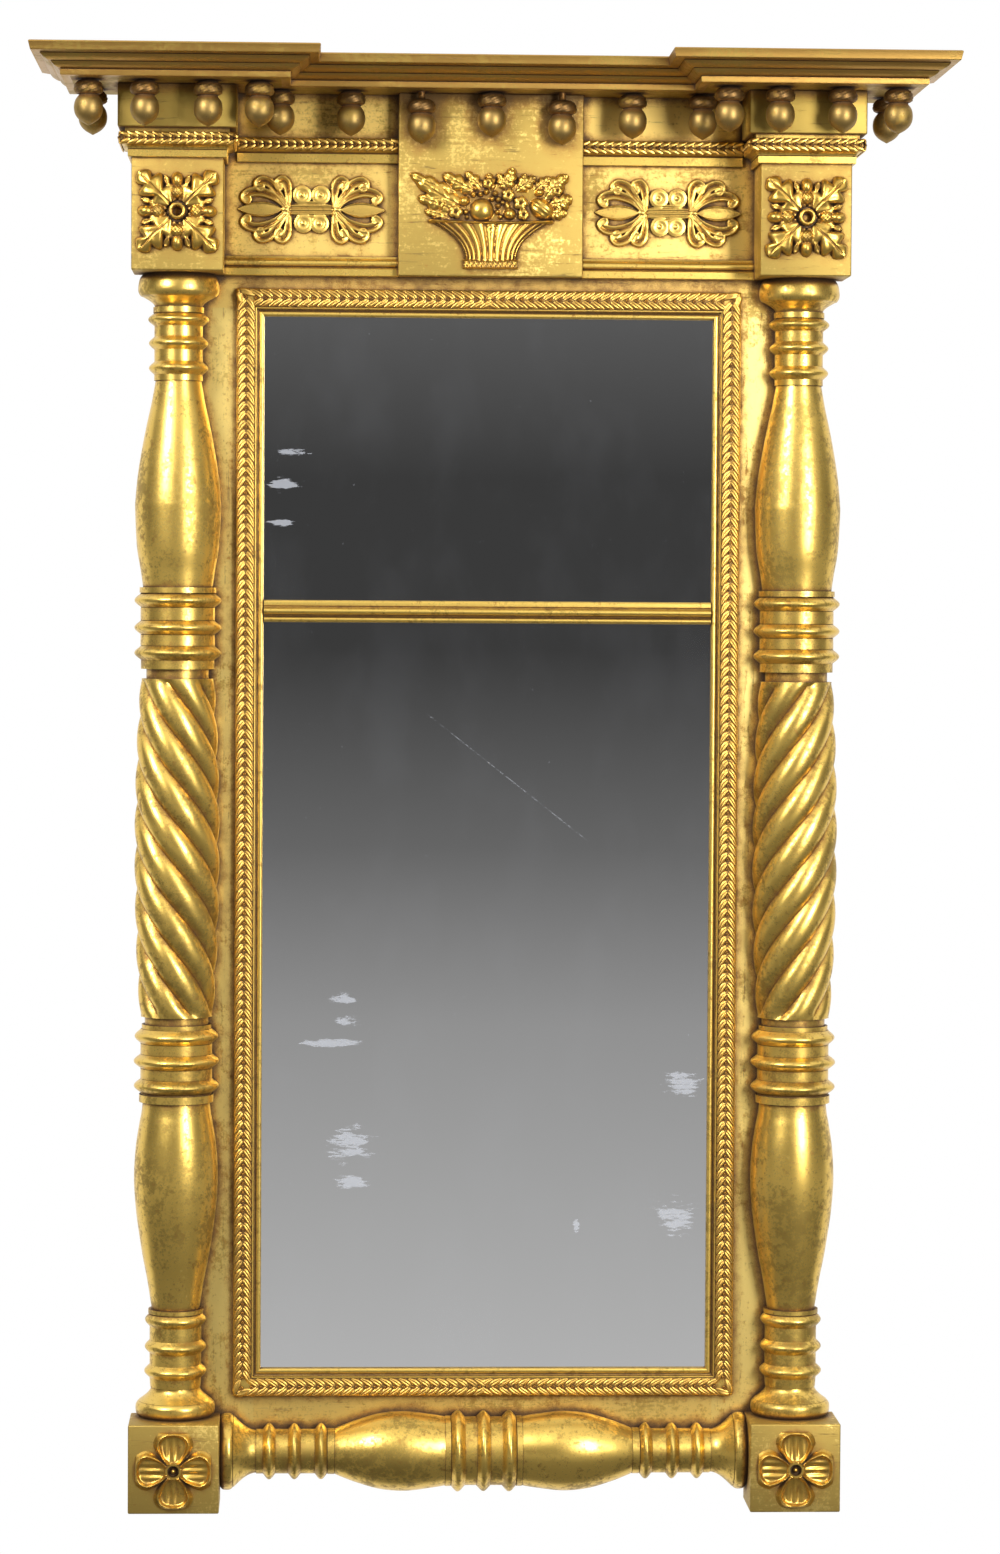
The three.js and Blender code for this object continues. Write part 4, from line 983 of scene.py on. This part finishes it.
class PIERMIRROR_OT_acorns(bpy.types.Operator):
    """Hang the acorn drops under the cornice"""

    bl_idname = "pier_mirror.acorns"
    bl_label = "Acorn drops"

    def execute(self, context):
        nodes = sorted(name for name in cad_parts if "acorn" in name)
        upwards = (0, 0, 1)
        runs = []
        for low, high in map(corners, nodes):
            top = ((low.x + high.x) / 2, (low.y + high.y) / 2, low.z + ACORN_LENGTH)
            runs.append(([top], upwards, upwards))
        for name, curve, finish, replaced in (
                ("acorn_nuts", ACORN_NUT, gilding("bronzed_leaf_on_turned_acorns"), nodes),
                ("acorn_caps", ACORN_CAP, gilding("darkened_leaf_on_acorn_caps"), [])):
            drops = grown(name, stamping_tree(False), runs,
                          acorn_stamp(f"{name}_stamp", through(curve, 3)), finish, Size=1.0)
            finished(drops, finish, replaced, smooth_angle=CARVED)
        return {"FINISHED"}


# ---- Carved reliefs ------------------------------------------------------------------------------
SUNK = 0.8  # how far a relief's edge goes into what carries it, in millimetres as all of these
BACK = SUNK + 0.4
FALL = 1.5  # how steeply a form drops away outside its outline
NOTHING = -1.0
BARELY = 0.02  # a form has to stand this far above the relief's edge to be kept


def dome(u, v, cu, cv, ru, rv, height, turn=0.0, fullness=0.5):
    """Rounded form; outside its outline it falls away, so that the highest form at a place shows."""
    c, s = math.cos(turn), math.sin(turn)
    a = ((u - cu) * c + (v - cv) * s) / ru
    b = ((v - cv) * c - (u - cu) * s) / rv
    reach = np.hypot(a, b)
    inside = height * np.clip(1 - reach ** 2, 0, None) ** fullness
    return np.where(reach < 1, inside, (1 - reach) * min(ru, rv) * FALL)


def along_stroke(u, v, knots, steps=8):
    """Distance from a curve through knots, and how far along it the nearest place is."""
    curve = np.array(through([tuple(map(float, knot)) for knot in knots], steps))
    nearest = np.full(u.shape, 1e9)
    share = np.zeros(u.shape)
    total = len(curve) - 1
    for i, (start, end) in enumerate(zip(curve, curve[1:])):
        way = end - start
        t = np.clip(((u - start[0]) * way[0] + (v - start[1]) * way[1]) / max(way @ way, 1e-9), 0, 1)
        distance = np.hypot(u - start[0] - way[0] * t, v - start[1] - way[1] * t)
        closer = distance < nearest
        nearest = np.where(closer, distance, nearest)
        share = np.where(closer, (i + t) / total, share)
    return nearest, share


def cord_ridge(u, v, knots, radius, height):
    distance, _ = along_stroke(u, v, knots)
    return np.where(distance < radius, height * np.sqrt(np.clip(1 - (distance / radius) ** 2, 0, 1)),
                    (radius - distance) * FALL)


def leaf_blade(u, v, root, tip, width, height, lobes, veins, bend=0.0, cut=0.38):
    """Leaf from root to tip with a sunk midrib, side veins and rounded lobes, cut deep or shallow."""
    root, tip = np.array(root, float), np.array(tip, float)
    way = tip - root
    size = np.hypot(*way)
    way = way / size
    t = ((u - root[0]) * way[0] + (v - root[1]) * way[1]) / size
    w = (v - root[1]) * way[0] - (u - root[0]) * way[1]
    inside_t = np.clip(t, 0, 1)
    w = w - bend * np.sin(np.pi * inside_t)
    outline = width * np.sin(np.pi * (0.10 + 0.86 * inside_t) ** 1.05) ** 0.7
    swing = np.abs(np.sin(np.pi * lobes * (inside_t - np.abs(w) / size * 0.5)))
    outline = outline * (1.04 - cut + cut * swing)
    outline = np.maximum(outline, 0.05)
    share = np.abs(w) / outline
    form = height * (0.55 + 0.45 * np.sin(np.pi * inside_t)) * np.clip(1 - share ** 2.4, 0, 1) ** 0.5
    form = form - 0.12 * height * np.exp(-(w / 0.7) ** 2) * (inside_t < 0.92)
    phase = (inside_t * veins - np.abs(w) / width * 0.9) * 2 * np.pi
    form = form + 0.07 * height * np.cos(phase) * np.clip(1 - share, 0, 1) * np.minimum(1, share * 4)
    inside = (share < 1) & (t > 0) & (t < 1)
    away = np.maximum(np.abs(w) - outline, np.maximum(-t, t - 1) * size)
    return np.where(inside, form, -np.abs(away) * FALL)


def highest(*forms):
    return np.maximum.reduce(forms)


def carved(name, size, height, place, sign=1):
    """Closed relief of height(u, v) over a grid, standing towards -Y from place (x, y, z)."""
    step = settings().relief_pitch / MM
    half, foot, head = size
    across = np.arange(-half, half + step, step)
    up = np.arange(foot, head + step, step)
    u, v = np.meshgrid(across, up)
    tall = np.maximum(height(u, v), -SUNK)
    kept = highest(tall[:-1, :-1], tall[1:, :-1], tall[:-1, 1:], tall[1:, 1:]) > -SUNK + BARELY
    count = u.size
    index = np.arange(count).reshape(u.shape)
    x0, y0, z0 = place
    front = np.stack([x0 + sign * u, y0 - tall, z0 + v], -1).reshape(-1, 3)
    back = np.stack([x0 + sign * u, np.full(u.shape, y0 + BACK), z0 + v], -1).reshape(-1, 3)
    quads = np.stack([index[:-1, :-1], index[:-1, 1:], index[1:, 1:], index[1:, :-1]], -1)[kept]
    fronts = [tuple(quad) for quad in quads.tolist()]
    faces = [*fronts, *(tuple(value + count for value in reversed(quad)) for quad in fronts)]
    edges = {}  # the outline's edges, which only one quad has
    for quad in fronts:
        for a, b in zip(quad, quad[1:] + quad[:1]):
            if edges.pop((b, a), None) is None:
                edges[(a, b)] = True
    faces += [(b, a, a + count, b + count) for a, b in edges]
    used = np.zeros(2 * count, bool)
    used[np.unique(np.array([value for face in faces for value in face]))] = True
    renumber = np.cumsum(used) - 1
    points = np.concatenate([front, back])[used]
    faces = [tuple(int(renumber[value]) for value in face) for face in faces]
    return mesh_object(name, points.tolist(), faces)


OAK_LEAVES = (  # swing from the corner in degrees, reach, half width and height
    (0, 47.5, 14.0, 9.2), (-26, 33, 5.4, 6.4), (26, 33, 5.4, 6.4))
OAK_ROOT = 6
OAK_ACORN, OAK_CUP = (26.5, 7.6, 5.6, 8.4), (16.6, 6.6, 7.2, 9.6)  # from the middle, size and height
TUBE, TUBE_WALL, TUBE_EYE, ROUND_TUBE = 5.7, 1.7, 4.1, 9.2  # radii of the tube, its bore and its seat


def oak_rosette_form(u, v):
    """Four lobed oak leaves to the corners, acorns between them, and a tube in the middle."""
    forms = []
    for corner in range(4):
        for swing, size, width, height in OAK_LEAVES:
            angle = math.radians(45 + 90 * corner + swing)
            way = np.array((math.cos(angle), math.sin(angle)))
            forms.append(leaf_blade(u, v, way * OAK_ROOT, way * size, width, height,
                                    lobes=3, veins=3, cut=0.56))
    for side in range(4):
        angle = math.radians(90 * side)
        nut, cup = (dome(u, v, reach * math.cos(angle), reach * math.sin(angle), *size, angle)
                    for reach, *size in (OAK_ACORN, OAK_CUP))
        forms += [nut, np.where(cup > 0.6, cup + 0.5 * np.cos(u * 2.2) * np.cos(v * 2.2), cup)]
    reach = np.hypot(u, v)
    rosette = np.where(reach < ROUND_TUBE, 2.2, highest(*forms))
    rim = 8.6 + 1.8 * np.sqrt(np.clip(1 - ((reach - TUBE) / TUBE_WALL) ** 2, 0, 1))
    rosette = np.where(np.abs(reach - TUBE) < TUBE_WALL, rim, rosette)
    return np.where(reach < TUBE_EYE, 0.2, rosette)


PETAL_MIDDLE, PETAL_LENGTH, PETAL_WIDTH = 18.6, 15.4, 15.6  # half the length and width
CUP_RADIUS, CUP_WALL, CUP_EYE = 6.0, 1.3, 4.9


def flower_form(u, v):
    """Four broad petals with rolled rims and ridges, round a dark cup with a boss."""
    forms = []
    for side in range(4):
        angle = math.radians(90 * side)
        c, s = math.cos(angle), math.sin(angle)
        along, across = u * c + v * s, v * c - u * s
        a = (along - PETAL_MIDDLE) / PETAL_LENGTH
        b = across / (PETAL_WIDTH * np.clip(0.42 + along / 40, 0.3, 1.0))
        reach = (np.abs(a) ** 2.5 + np.abs(b) ** 2.5) ** 0.4
        floor = 2.4 + 2.2 * reach ** 2 - 0.06 * along
        rim = 3.0 * np.exp(-((reach - 0.88) / 0.085) ** 2)
        ridges = 1.0 * np.clip(0.85 - reach, 0, 1) * np.cos(across * 1.0)
        forms.append(np.where(reach < 1, floor + rim + ridges, (1 - reach) * 16 + 2.4))
    reach = np.hypot(u, v)
    flower = highest(*forms)
    cup = np.where(np.abs(reach - CUP_RADIUS) < CUP_WALL, 5.0, flower)
    cup = np.where(reach < CUP_EYE, 0.2, cup)
    return highest(cup, dome(u, v, 0, 0, 2.7, 2.7, 5.6))


FAN_HOOKS = (  # middle line of each hooked lobe from the root to its curled end
    [(22, 1.5), (32, 10.5), (45, 15.6), (54.5, 14.6), (58.6, 11.0), (56.6, 8.4)],
    [(21, 2.5), (28.6, 13.0), (36, 22.4), (43.4, 25.2), (47.0, 22.6), (45.2, 19.6)],
    [(20, 3.0), (20.4, 14), (21.8, 22), (25.4, 25.6), (29.0, 23.8), (28.4, 20.4)],
)


def ribbed_band(u, v, knots, half_width):
    """Band with a ridge along each edge and a pierced slot between them, narrow at its root."""
    distance, t = along_stroke(u, v, knots)
    half = half_width * (0.45 + 0.55 * np.clip(t * 2.6, 0, 1))
    share = distance / half
    pierced = np.sin(np.pi * np.clip((t - 0.16) / 0.62, 0, 1)) ** 0.5
    form = 2.9 + 0.7 * np.exp(-((share - 0.70) / 0.22) ** 2) - 2.0 * pierced * np.exp(-(share / 0.2) ** 2)
    return np.where(share < 1, form + 0.8 * np.clip(1 - t * 2, 0, 1), (1 - share) * 6.0)


FAN_HALF_WIDTH = 4.5
ALMOND_START, ALMOND_LENGTH, ALMOND_WIDTH = 26.0, 38.6, 6.8  # the plain leaf in each fan's middle
SCROLLS, SCROLL_RADIUS = ((8.2, 12.8), (7.0, -12.0)), 8.6


def palmette_form(u, v):
    """Two fans of hooked lobes back to back about four scroll discs."""
    a, b = np.abs(u), np.abs(v)
    forms = [ribbed_band(a, b, knots, FAN_HALF_WIDTH) for knots in FAN_HOOKS]
    along = (a - ALMOND_START) / ALMOND_LENGTH
    inside = np.clip(along, 0, 1)
    outline = ALMOND_WIDTH * np.sin(np.pi * inside ** 0.9) ** 0.75 + BARELY
    share = b / outline
    almond = 2.6 + 1.4 * np.sqrt(np.clip(1 - share ** 2, 0, 1)) + 1.2 * np.exp(-((share - 0.86) / 0.12) ** 2)
    forms.append(np.where((share < 1) & (along > 0) & (along < 1), almond, NOTHING))
    forms.append(dome(a, b, 23, 0, 5.5, 3.4, 5.0))
    waist = 2.8 + 0.4 * np.cos(b * 1.9)
    forms.append(np.where((a < 22) & (b < 8.0 - a * 0.2), waist, NOTHING))
    for cu, cv in SCROLLS:
        reach = np.hypot(a - cu, v - cv)
        rings = 0.25 * np.cos(reach / SCROLL_RADIUS * 3 * np.pi)
        disc = 3.0 + rings + 0.6 * np.exp(-(reach / 1.3) ** 2)
        forms.append(np.where(reach < SCROLL_RADIUS, disc, (SCROLL_RADIUS - reach) * 2.0))
    return highest(*forms)


BASKET_LEAVES = (  # root, tip, half width, height, bend
    ((-22, 46), (-66, 73), 9.5, 6.2, 2.0), ((-32, 60), (-71, 76), 7.0, 5.4, 1.5),
    ((-30, 42), (-64, 56), 8.0, 5.8, -1.0), ((-34, 37), (-58, 44), 6.0, 5.2, 0.0),
    ((-12, 60), (-42, 76), 8.0, 5.8, 1.0), ((-6, 60), (-22, 78), 6.5, 5.2, 0.0),
    ((0, 60), (-2, 77), 6.0, 5.0, 0.0), ((14, 62), (19, 82), 6.5, 6.2, 0.0),
    ((14, 62), (6, 77), 5.5, 5.6, 0.0), ((22, 62), (39, 74), 7.0, 6.0, 0.0),
    ((26, 62), (30, 77), 5.5, 5.4, 0.0), ((38, 62), (52, 74), 6.0, 5.0, 0.0),
    ((46, 54), (67, 76), 8.5, 5.8, 1.5), ((52, 50), (71, 56), 8.5, 5.8, -1.0),
    ((48, 42), (67, 43), 6.5, 5.0, 0.0),
)
RIM_LEVEL, RIM_HALF, FOOT_HALF = 35.0, 53.3, 22.4  # of the basket itself
MELON, MELON_TURN = (44.5, 46.0, 12.2, 9.2, 9.4), -0.65  # middle, half sizes and height
BASKET_BLOSSOMS = ((-31, 43, 6.5), (15, 58, 6.0), (28.5, 41, 5.5), (26, 51, 6.5), (-45, 50, 5.0),
                   (-3, 68, 5.0), (58, 62, 5.0))
PENDANT = (  # middle, radius and height of each ball that hangs from the basket's rim
    (0, 29.0, 2.2, 8.2), (-3.4, 31, 1.8, 7.9), (3.4, 31, 1.8, 7.9), (0, 25.2, 1.6, 7.8))
BASKET_BALLS = (  # u, v, half width, half height, height and turn of each fruit
    (-8.2, 44.5, 11.2, 11.0, 9.6, 0.0), (-23.6, 52.5, 5.8, 4.9, 8.0, 0.5), (16.4, 41.5, 6.0, 5.6, 8.2, 0.0),
    (14.2, 48.5, 3.0, 5.4, 7.0, 0.25), (42.5, 60.5, 5.0, 3.8, 7.0, 0.35), (-15.5, 58.4, 3.0, 3.0, 7.6, 0.0),
    (-4.2, 60.6, 2.9, 2.9, 7.8, 0.0), (3.6, 59.2, 2.9, 2.9, 7.8, 0.0), (-9.4, 58.6, 2.8, 2.8, 7.4, 0.0),
    (1.0, 54.6, 2.8, 2.8, 7.6, 0.0), (6.4, 54.0, 2.8, 2.8, 7.8, 0.0), (6.2, 48.6, 2.8, 2.8, 7.4, 0.0),
    (10.0, 51.4, 2.5, 2.5, 7.0, 0.0), (5.6, 43.2, 2.6, 2.6, 7.0, 0.0), (8.4, 39.0, 2.4, 2.4, 6.8, 0.0),
    (-22.0, 43.0, 2.8, 2.8, 6.8, 0.0), (-21.0, 38.6, 2.4, 2.4, 6.6, 0.0), (-14.0, 63.6, 2.6, 2.6, 6.8, 0.0),
)


def blossom(u, v, cu, cv, size):
    angle = np.arctan2(v - cv, u - cu)
    reach = np.hypot(u - cu, v - cv) / (size * (0.78 + 0.22 * np.abs(np.cos(2.5 * angle))))
    return np.where(reach < 1, 5.4 + 1.4 * np.sin(np.pi * reach) - 1.2 * np.exp(-(reach / 0.22) ** 2),
                    (1 - reach) * size)


def fruit_basket_form(u, v):
    """Flared fluted basket with a banded foot, under leaves, grapes, blossoms and larger fruit."""
    share = np.clip(v / RIM_LEVEL, 0, 1)
    half = FOOT_HALF + (RIM_HALF - FOOT_HALF) * share ** 2.2
    side = np.clip(u / half, -1, 1)
    swell = np.sqrt(np.clip(1 - side ** 2, 0, 1))
    flutes = np.cos(np.arcsin(side) * 13)
    bowl = 2.4 + 2.6 * swell + 2.0 * np.abs(flutes) ** 0.8
    bowl = np.where((np.abs(u) < half) & (v > 0) & (v < RIM_LEVEL), bowl, NOTHING)
    rim = cord_ridge(u, v, [(-RIM_HALF, RIM_LEVEL), (0, RIM_LEVEL - 1.6), (RIM_HALF, RIM_LEVEL)], 1.7, 7.8)
    band_half = FOOT_HALF * 1.04
    foot = np.where((np.abs(u) < band_half) & (v > -6) & (v < 1.0),
                    5.4 + 0.7 * np.cos(u * 1.5) * np.cos((v + 2.6) * 1.1), NOTHING)
    forms = [bowl, rim, foot]
    forms += [cord_ridge(u, v, [(-band_half, level), (band_half, level)], 0.9, 6.8)
              for level in (1.0, -5.6)]
    forms += [dome(u, v, *place, radius, radius, height) for *place, radius, height in PENDANT]
    forms += [leaf_blade(u, v, root, tip, width, height, lobes=3, veins=5, bend=bend)
              for root, tip, width, height, bend in BASKET_LEAVES]
    forms += [blossom(u, v, *place) for place in BASKET_BLOSSOMS]
    forms.append(np.where((np.abs(u) < 46 + (v - RIM_LEVEL) * 0.3) & (v > RIM_LEVEL) & (v < 68),
                          2.4, NOTHING))
    forms += [dome(u, v, *ball) for ball in BASKET_BALLS]
    melon = dome(u, v, *MELON, MELON_TURN)
    across = (v - MELON[1]) * math.cos(MELON_TURN) - (u - MELON[0]) * math.sin(MELON_TURN)
    forms.append(np.where(melon > 0, melon + 0.35 * np.cos(across * 1.3), melon))
    return highest(*forms)


BLOCK_RELIEFS = (("oak_rosette", oak_rosette_form, 36), ("flower_rosette", flower_form, 33))
PALMETTE_SIZE = (66, -31, 31)  # half width, foot and head of its grid
BASKET_SIZE, BASKET_FOOT = (74, -8, 88), 6  # the same, and how far below v = 0 the basket starts


def middle(node, front):
    """Point on front before the middle of a node."""
    low, high = corners(node)
    return ((low.x + high.x) / 2, front, (low.z + high.z) / 2)


def relief(name, node, form, size, place, finish, sign=1):
    made = carved(name, size, form, place, sign)
    finished(made, gilding(finish), [node], smooth_angle=CARVED)


class PIERMIRROR_OT_block_ornaments(bpy.types.Operator):
    """Carve the oak rosettes and the flowers on the corner blocks"""

    bl_idname = "pier_mirror.block_ornaments"
    bl_label = "Rosettes and flowers"

    def execute(self, context):
        for node, form, half in BLOCK_RELIEFS:
            for side, sign in SIDES:
                relief(f"{side}_carved_{node}", f"{side}_{node}", form, (half, -half, half),
                       middle(f"{side}_{node}", BLOCK_FRONT), "gilded_composition_ornament", sign)
        return {"FINISHED"}


class PIERMIRROR_OT_frieze_ornaments(bpy.types.Operator):
    """Carve the palmettes and the fruit basket of the frieze"""

    bl_idname = "pier_mirror.frieze_ornaments"
    bl_label = "Palmettes and fruit basket"

    def execute(self, context):
        for side, sign in SIDES:
            relief(f"{side}_carved_palmette", f"{side}_palmette", palmette_form, PALMETTE_SIZE,
                   middle(f"{side}_palmette", BOARD_FRONT), "gilded_palmettes", sign)
        foot = corners("fruit_basket")[0].z
        relief("carved_fruit_basket", "fruit_basket", fruit_basket_form, BASKET_SIZE,
               (0, TABLET_FRONT, foot + BASKET_FOOT), "gilded_composition_ornament")
        return {"FINISHED"}


# ---- Blocks, boards and glass --------------------------------------------------------------------
class PIERMIRROR_OT_blocks(bpy.types.Operator):
    """Round the arrises of the corner blocks, fascias and tablet"""

    bl_idname = "pier_mirror.blocks"
    bl_label = "Blocks and tablet"

    def execute(self, context):
        softening = settings().edge_softening / MM
        nodes = [f"{side}_{block}_block" for side, _ in SIDES for block in ("base", "frieze", "fascia")]
        for node in [*nodes, "centre_tablet"]:
            block = softened_block(f"{node}_gessoed", *corners(node), softening)
            # The fascias' leaf is painted darker as shade under the cornice.
            kind = "worn_and_shaded_gilding_on_fascias" if "fascia" in node else "matt_water_gilding_on_blocks"
            finished(block, gilding(kind), [node], smooth_angle=SOFT)
        return {"FINISHED"}


class PIERMIRROR_OT_frame_finishes(bpy.types.Operator):
    """Finish the pieces that keep their CAD shape: boards, glass, backboard and hangers"""

    bl_idname = "pier_mirror.frame_finishes"
    bl_label = "Boards, glass and hangers"

    def execute(self, context):
        finishes = (
            (gilding("matt_water_gilding_on_rails"), ("header", "bottom_rail")),
            (gilding("matt_water_gilding_on_stiles"), ("left_stile", "right_stile")),
            (gilding("matt_water_gilding_on_soffit"), ("cornice_board",)),
            (made_once("old_silvered_plate_glass", old_mirror),
             ("upper_mirror_plate", "lower_mirror_plate")),
            (made_once("aged_bare_pine", planed_pine), ("backboard",)),
            (made_once("tarnished_brass", old_brass),
             [f"{side}_hanger_{piece}" for side, _ in SIDES for piece in ("strap", "ring")]),
        )
        for finish, nodes in finishes:
            for node in nodes:
                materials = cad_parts[node].data.materials
                materials.clear()
                materials.append(finish)
        return {"FINISHED"}


# ---- Studio --------------------------------------------------------------------------------------
CAMERA_PLACE = (-155.34, -3877.4, 795.15)  # from the middle plane, the wall and the mirror's foot
CAMERA_YAW, CAMERA_PITCH, CAMERA_ROLL = 0.0433, 0.0391, 0.0061
CAMERA_REACH = 50  # metres
FOCAL_PIXELS, PICTURE_HEIGHT, SENSOR = 4364.35, 1554, 36.0
LIT_HEIGHT = 1000  # the softboxes face the mirror at this height above its foot
LEFT_SOFTBOX = ((-1500, -1800, 1950), 620, 1100)  # place above the mirror's foot, width and height
RIGHT_SOFTBOX = ((1350, -2500, 1250), 620, 1300)
FILL_LIGHT = 0.45
ROOM_RADIUS, ROOM_SIDES, ROOM_LEVELS = 6000, 40, (-4000, 3500)
ROOM_START, ROOM_SWEEP = -190, 200  # degrees: the wall with the mirror on it is left open
# Light of the studio's walls by height above the mirror's foot, as the glass shows it.
ROOM_LIGHT = ((-3000, "606060"), (-1250, "6C6C6C"), (-980, "BEBEBE"), (-150, "9A9A9A"),
              (250, "6C6C6C"), (700, "3E3E3E"), (1080, "3E3E3E"), (1430, "5C5C5C"), (2200, "3C3C3C"))
FLOOR_DROP, FLOOR_HALF, FLOOR_FRONT, FLOOR_BACK = 600, 5000, -3000, 2300
FLOOR_GLOW = 0.3  # what the camera alone sees added to the floor


def softbox(name, place, width, height, power):
    """Rectangular softbox that faces the mirror; its size is in millimetres."""
    light = bpy.data.lights.new(name, "AREA")
    light.shape = "RECTANGLE"
    light.size = width * MM
    light.size_y = height * MM
    light.energy = power
    start, target = above_foot(*place), above_foot(0, 0, LIT_HEIGHT)
    turn = (target - start).to_track_quat("-Z", "Y").to_matrix().to_4x4()
    in_scene(name, light).matrix_world = Matrix.Translation(start) @ turn


def above_foot(x, y, height):
    """Point in metres, from millimetres above the mirror's foot."""
    return Vector((x, y, FOOT + height)) * MM


def wall_glow(tree):
    """Walls that glow by height, darker at eye level than near the floor."""
    add = partial(add_node, tree)
    place = add("ShaderNodeTexCoord").outputs["Object"]
    height = add("ShaderNodeSeparateXYZ", (place,)).outputs["Z"]
    low, high = ROOM_LIGHT[0][0], ROOM_LIGHT[-1][0]
    share = add("ShaderNodeMapRange", (height, (FOOT + low) * MM, (FOOT + high) * MM))
    ramp = add("ShaderNodeValToRGB", (share,))
    stops = ramp.color_ramp.elements
    stops[0].color = shade(ROOM_LIGHT[0][1])
    stops[1].color = shade(ROOM_LIGHT[-1][1])
    for level, tone in ROOM_LIGHT[1:-1]:
        stops.new((level - low) / (high - low)).color = shade(tone)
    return add("ShaderNodeEmission", {"Color": ramp, "Strength": 1.0})


def studio_walls():
    """Walls of the studio that only reflections see."""
    points = []
    for side in range(ROOM_SIDES + 1):
        angle = math.radians(ROOM_START + ROOM_SWEEP * side / ROOM_SIDES)
        points += [(ROOM_RADIUS * math.cos(angle), ROOM_RADIUS * math.sin(angle), FOOT + level)
                   for level in ROOM_LEVELS]
    faces = [(2 * side, 2 * side + 1, 2 * side + 3, 2 * side + 2) for side in range(ROOM_SIDES)]
    faces.append(tuple(2 * side for side in range(ROOM_SIDES + 1)))
    walls = mesh_object("studio_walls", points, faces)
    walls.data.materials.append(made_once("studio_walls", wall_glow))
    for ray in ("camera", "diffuse", "transmission", "shadow", "volume_scatter"):
        setattr(walls, f"visible_{ray}", False)


def painted_floor(tree):
    """Matt pale paint. It looks paler to the camera than the light it gives back."""
    rays = add_node(tree, "ShaderNodeLightPath").outputs
    return add_node(tree, "ShaderNodeBsdfPrincipled", {
        "Base Color": shade("F2F1EF"), "Roughness": 0.7, "Emission Color": shade("FFFFFF"),
        "Emission Strength": add_node(
            tree, "ShaderNodeMath", (rays["Is Camera Ray"], FLOOR_GLOW), **TIMES)})


def pale_floor():
    """Pale floor well below the mirror, as the photo shows none."""
    level = FOOT - FLOOR_DROP
    floor = mesh_object("studio_floor", [
        (-FLOOR_HALF, FLOOR_FRONT, level), (FLOOR_HALF, FLOOR_FRONT, level),
        (FLOOR_HALF, FLOOR_BACK, level), (-FLOOR_HALF, FLOOR_BACK, level)], [(0, 1, 2, 3)])
    floor.data.materials.append(made_once("pale_studio_floor", painted_floor))
    floor.visible_glossy = False


def white_surroundings():
    """White to the camera, to reflections and through glass; soft grey fill on the object."""
    world = bpy.data.worlds.new("white_surroundings")
    bpy.context.scene.world = world
    world.use_nodes = True
    tree = world.node_tree
    tree.nodes.clear()
    add = partial(add_node, tree)
    rays = add("ShaderNodeLightPath").outputs
    seen = rays["Is Camera Ray"]
    for ray in ("Is Glossy Ray", "Is Transmission Ray"):
        seen = add("ShaderNodeMath", (seen, rays[ray]), **GREATER)
    fill, white = (add("ShaderNodeBackground", {"Color": shade("FFFFFF"), "Strength": strength})
                   for strength in (FILL_LIGHT, 1.0))
    add("ShaderNodeOutputWorld", {"Surface": add("ShaderNodeMixShader", (seen, fill, white))})


class PIERMIRROR_OT_studio(bpy.types.Operator):
    """Set the camera, softboxes, floor and surroundings"""

    bl_idname = "pier_mirror.studio"
    bl_label = "Studio"

    def execute(self, context):
        scene = context.scene
        camera = in_scene("studio_camera", bpy.data.cameras.new("studio_camera"))
        camera.data.sensor_width = SENSOR
        camera.data.lens = SENSOR * FOCAL_PIXELS / PICTURE_HEIGHT
        camera.data.clip_end = CAMERA_REACH
        camera.matrix_world = (
            Matrix.Translation(above_foot(*CAMERA_PLACE))
            @ Matrix.Rotation(-CAMERA_YAW, 4, "Z")
            @ Matrix.Rotation(math.pi / 2 - CAMERA_PITCH, 4, "X")
            @ Matrix.Rotation(CAMERA_ROLL, 4, "Z"))
        scene.camera = camera
        scene.view_settings.view_transform = "Standard"
        studio = scene.pier_mirror_studio
        softbox("left_softbox", *LEFT_SOFTBOX, studio.left_power)
        softbox("right_softbox", *RIGHT_SOFTBOX, studio.right_power)
        white_surroundings()
        studio_walls()
        pale_floor()
        return {"FINISHED"}


# ---- Panel and registration ----------------------------------------------------------------------
STEPS = (
    PIERMIRROR_OT_studio, PIERMIRROR_OT_frame_finishes, PIERMIRROR_OT_blocks, PIERMIRROR_OT_columns,
    PIERMIRROR_OT_spindle, PIERMIRROR_OT_sight_moulding, PIERMIRROR_OT_cornice,
    PIERMIRROR_OT_block_caps, PIERMIRROR_OT_leaf_bands, PIERMIRROR_OT_acorns,
    PIERMIRROR_OT_block_ornaments, PIERMIRROR_OT_frieze_ornaments,
)
GROUPS = (("pier_mirror_sizes", MirrorSizes), ("pier_mirror_colours", MirrorColours),
          ("pier_mirror_studio", MirrorStudio))


class PIERMIRROR_PT_panel(bpy.types.Panel):
    """The mirror's sizes, colours and steps"""

    bl_idname = "PIERMIRROR_PT_panel"
    bl_label = "Pier mirror"
    bl_space_type = "VIEW_3D"
    bl_region_type = "UI"
    bl_category = "Pier mirror"

    def draw(self, context):
        layout = self.layout
        for attribute, group in GROUPS:
            values = getattr(context.scene, attribute)
            for name in group.__annotations__:
                layout.prop(values, name)
        for step in STEPS:
            layout.operator(step.bl_idname)


CLASSES = (*(group for _, group in GROUPS), *STEPS, PIERMIRROR_PT_panel)


def register():
    for made in CLASSES:
        bpy.utils.register_class(made)
    for attribute, group in GROUPS:
        setattr(bpy.types.Scene, attribute, PointerProperty(type=group))


def unregister():
    for attribute, _ in GROUPS:
        delattr(bpy.types.Scene, attribute)
    for made in reversed(CLASSES):
        bpy.utils.unregister_class(made)


def main():
    register()
    for step in STEPS:
        getattr(bpy.ops.pier_mirror, step.bl_idname.split(".")[1])()
    bpy.context.view_layer.update()


if __name__ == "__main__":
    main()
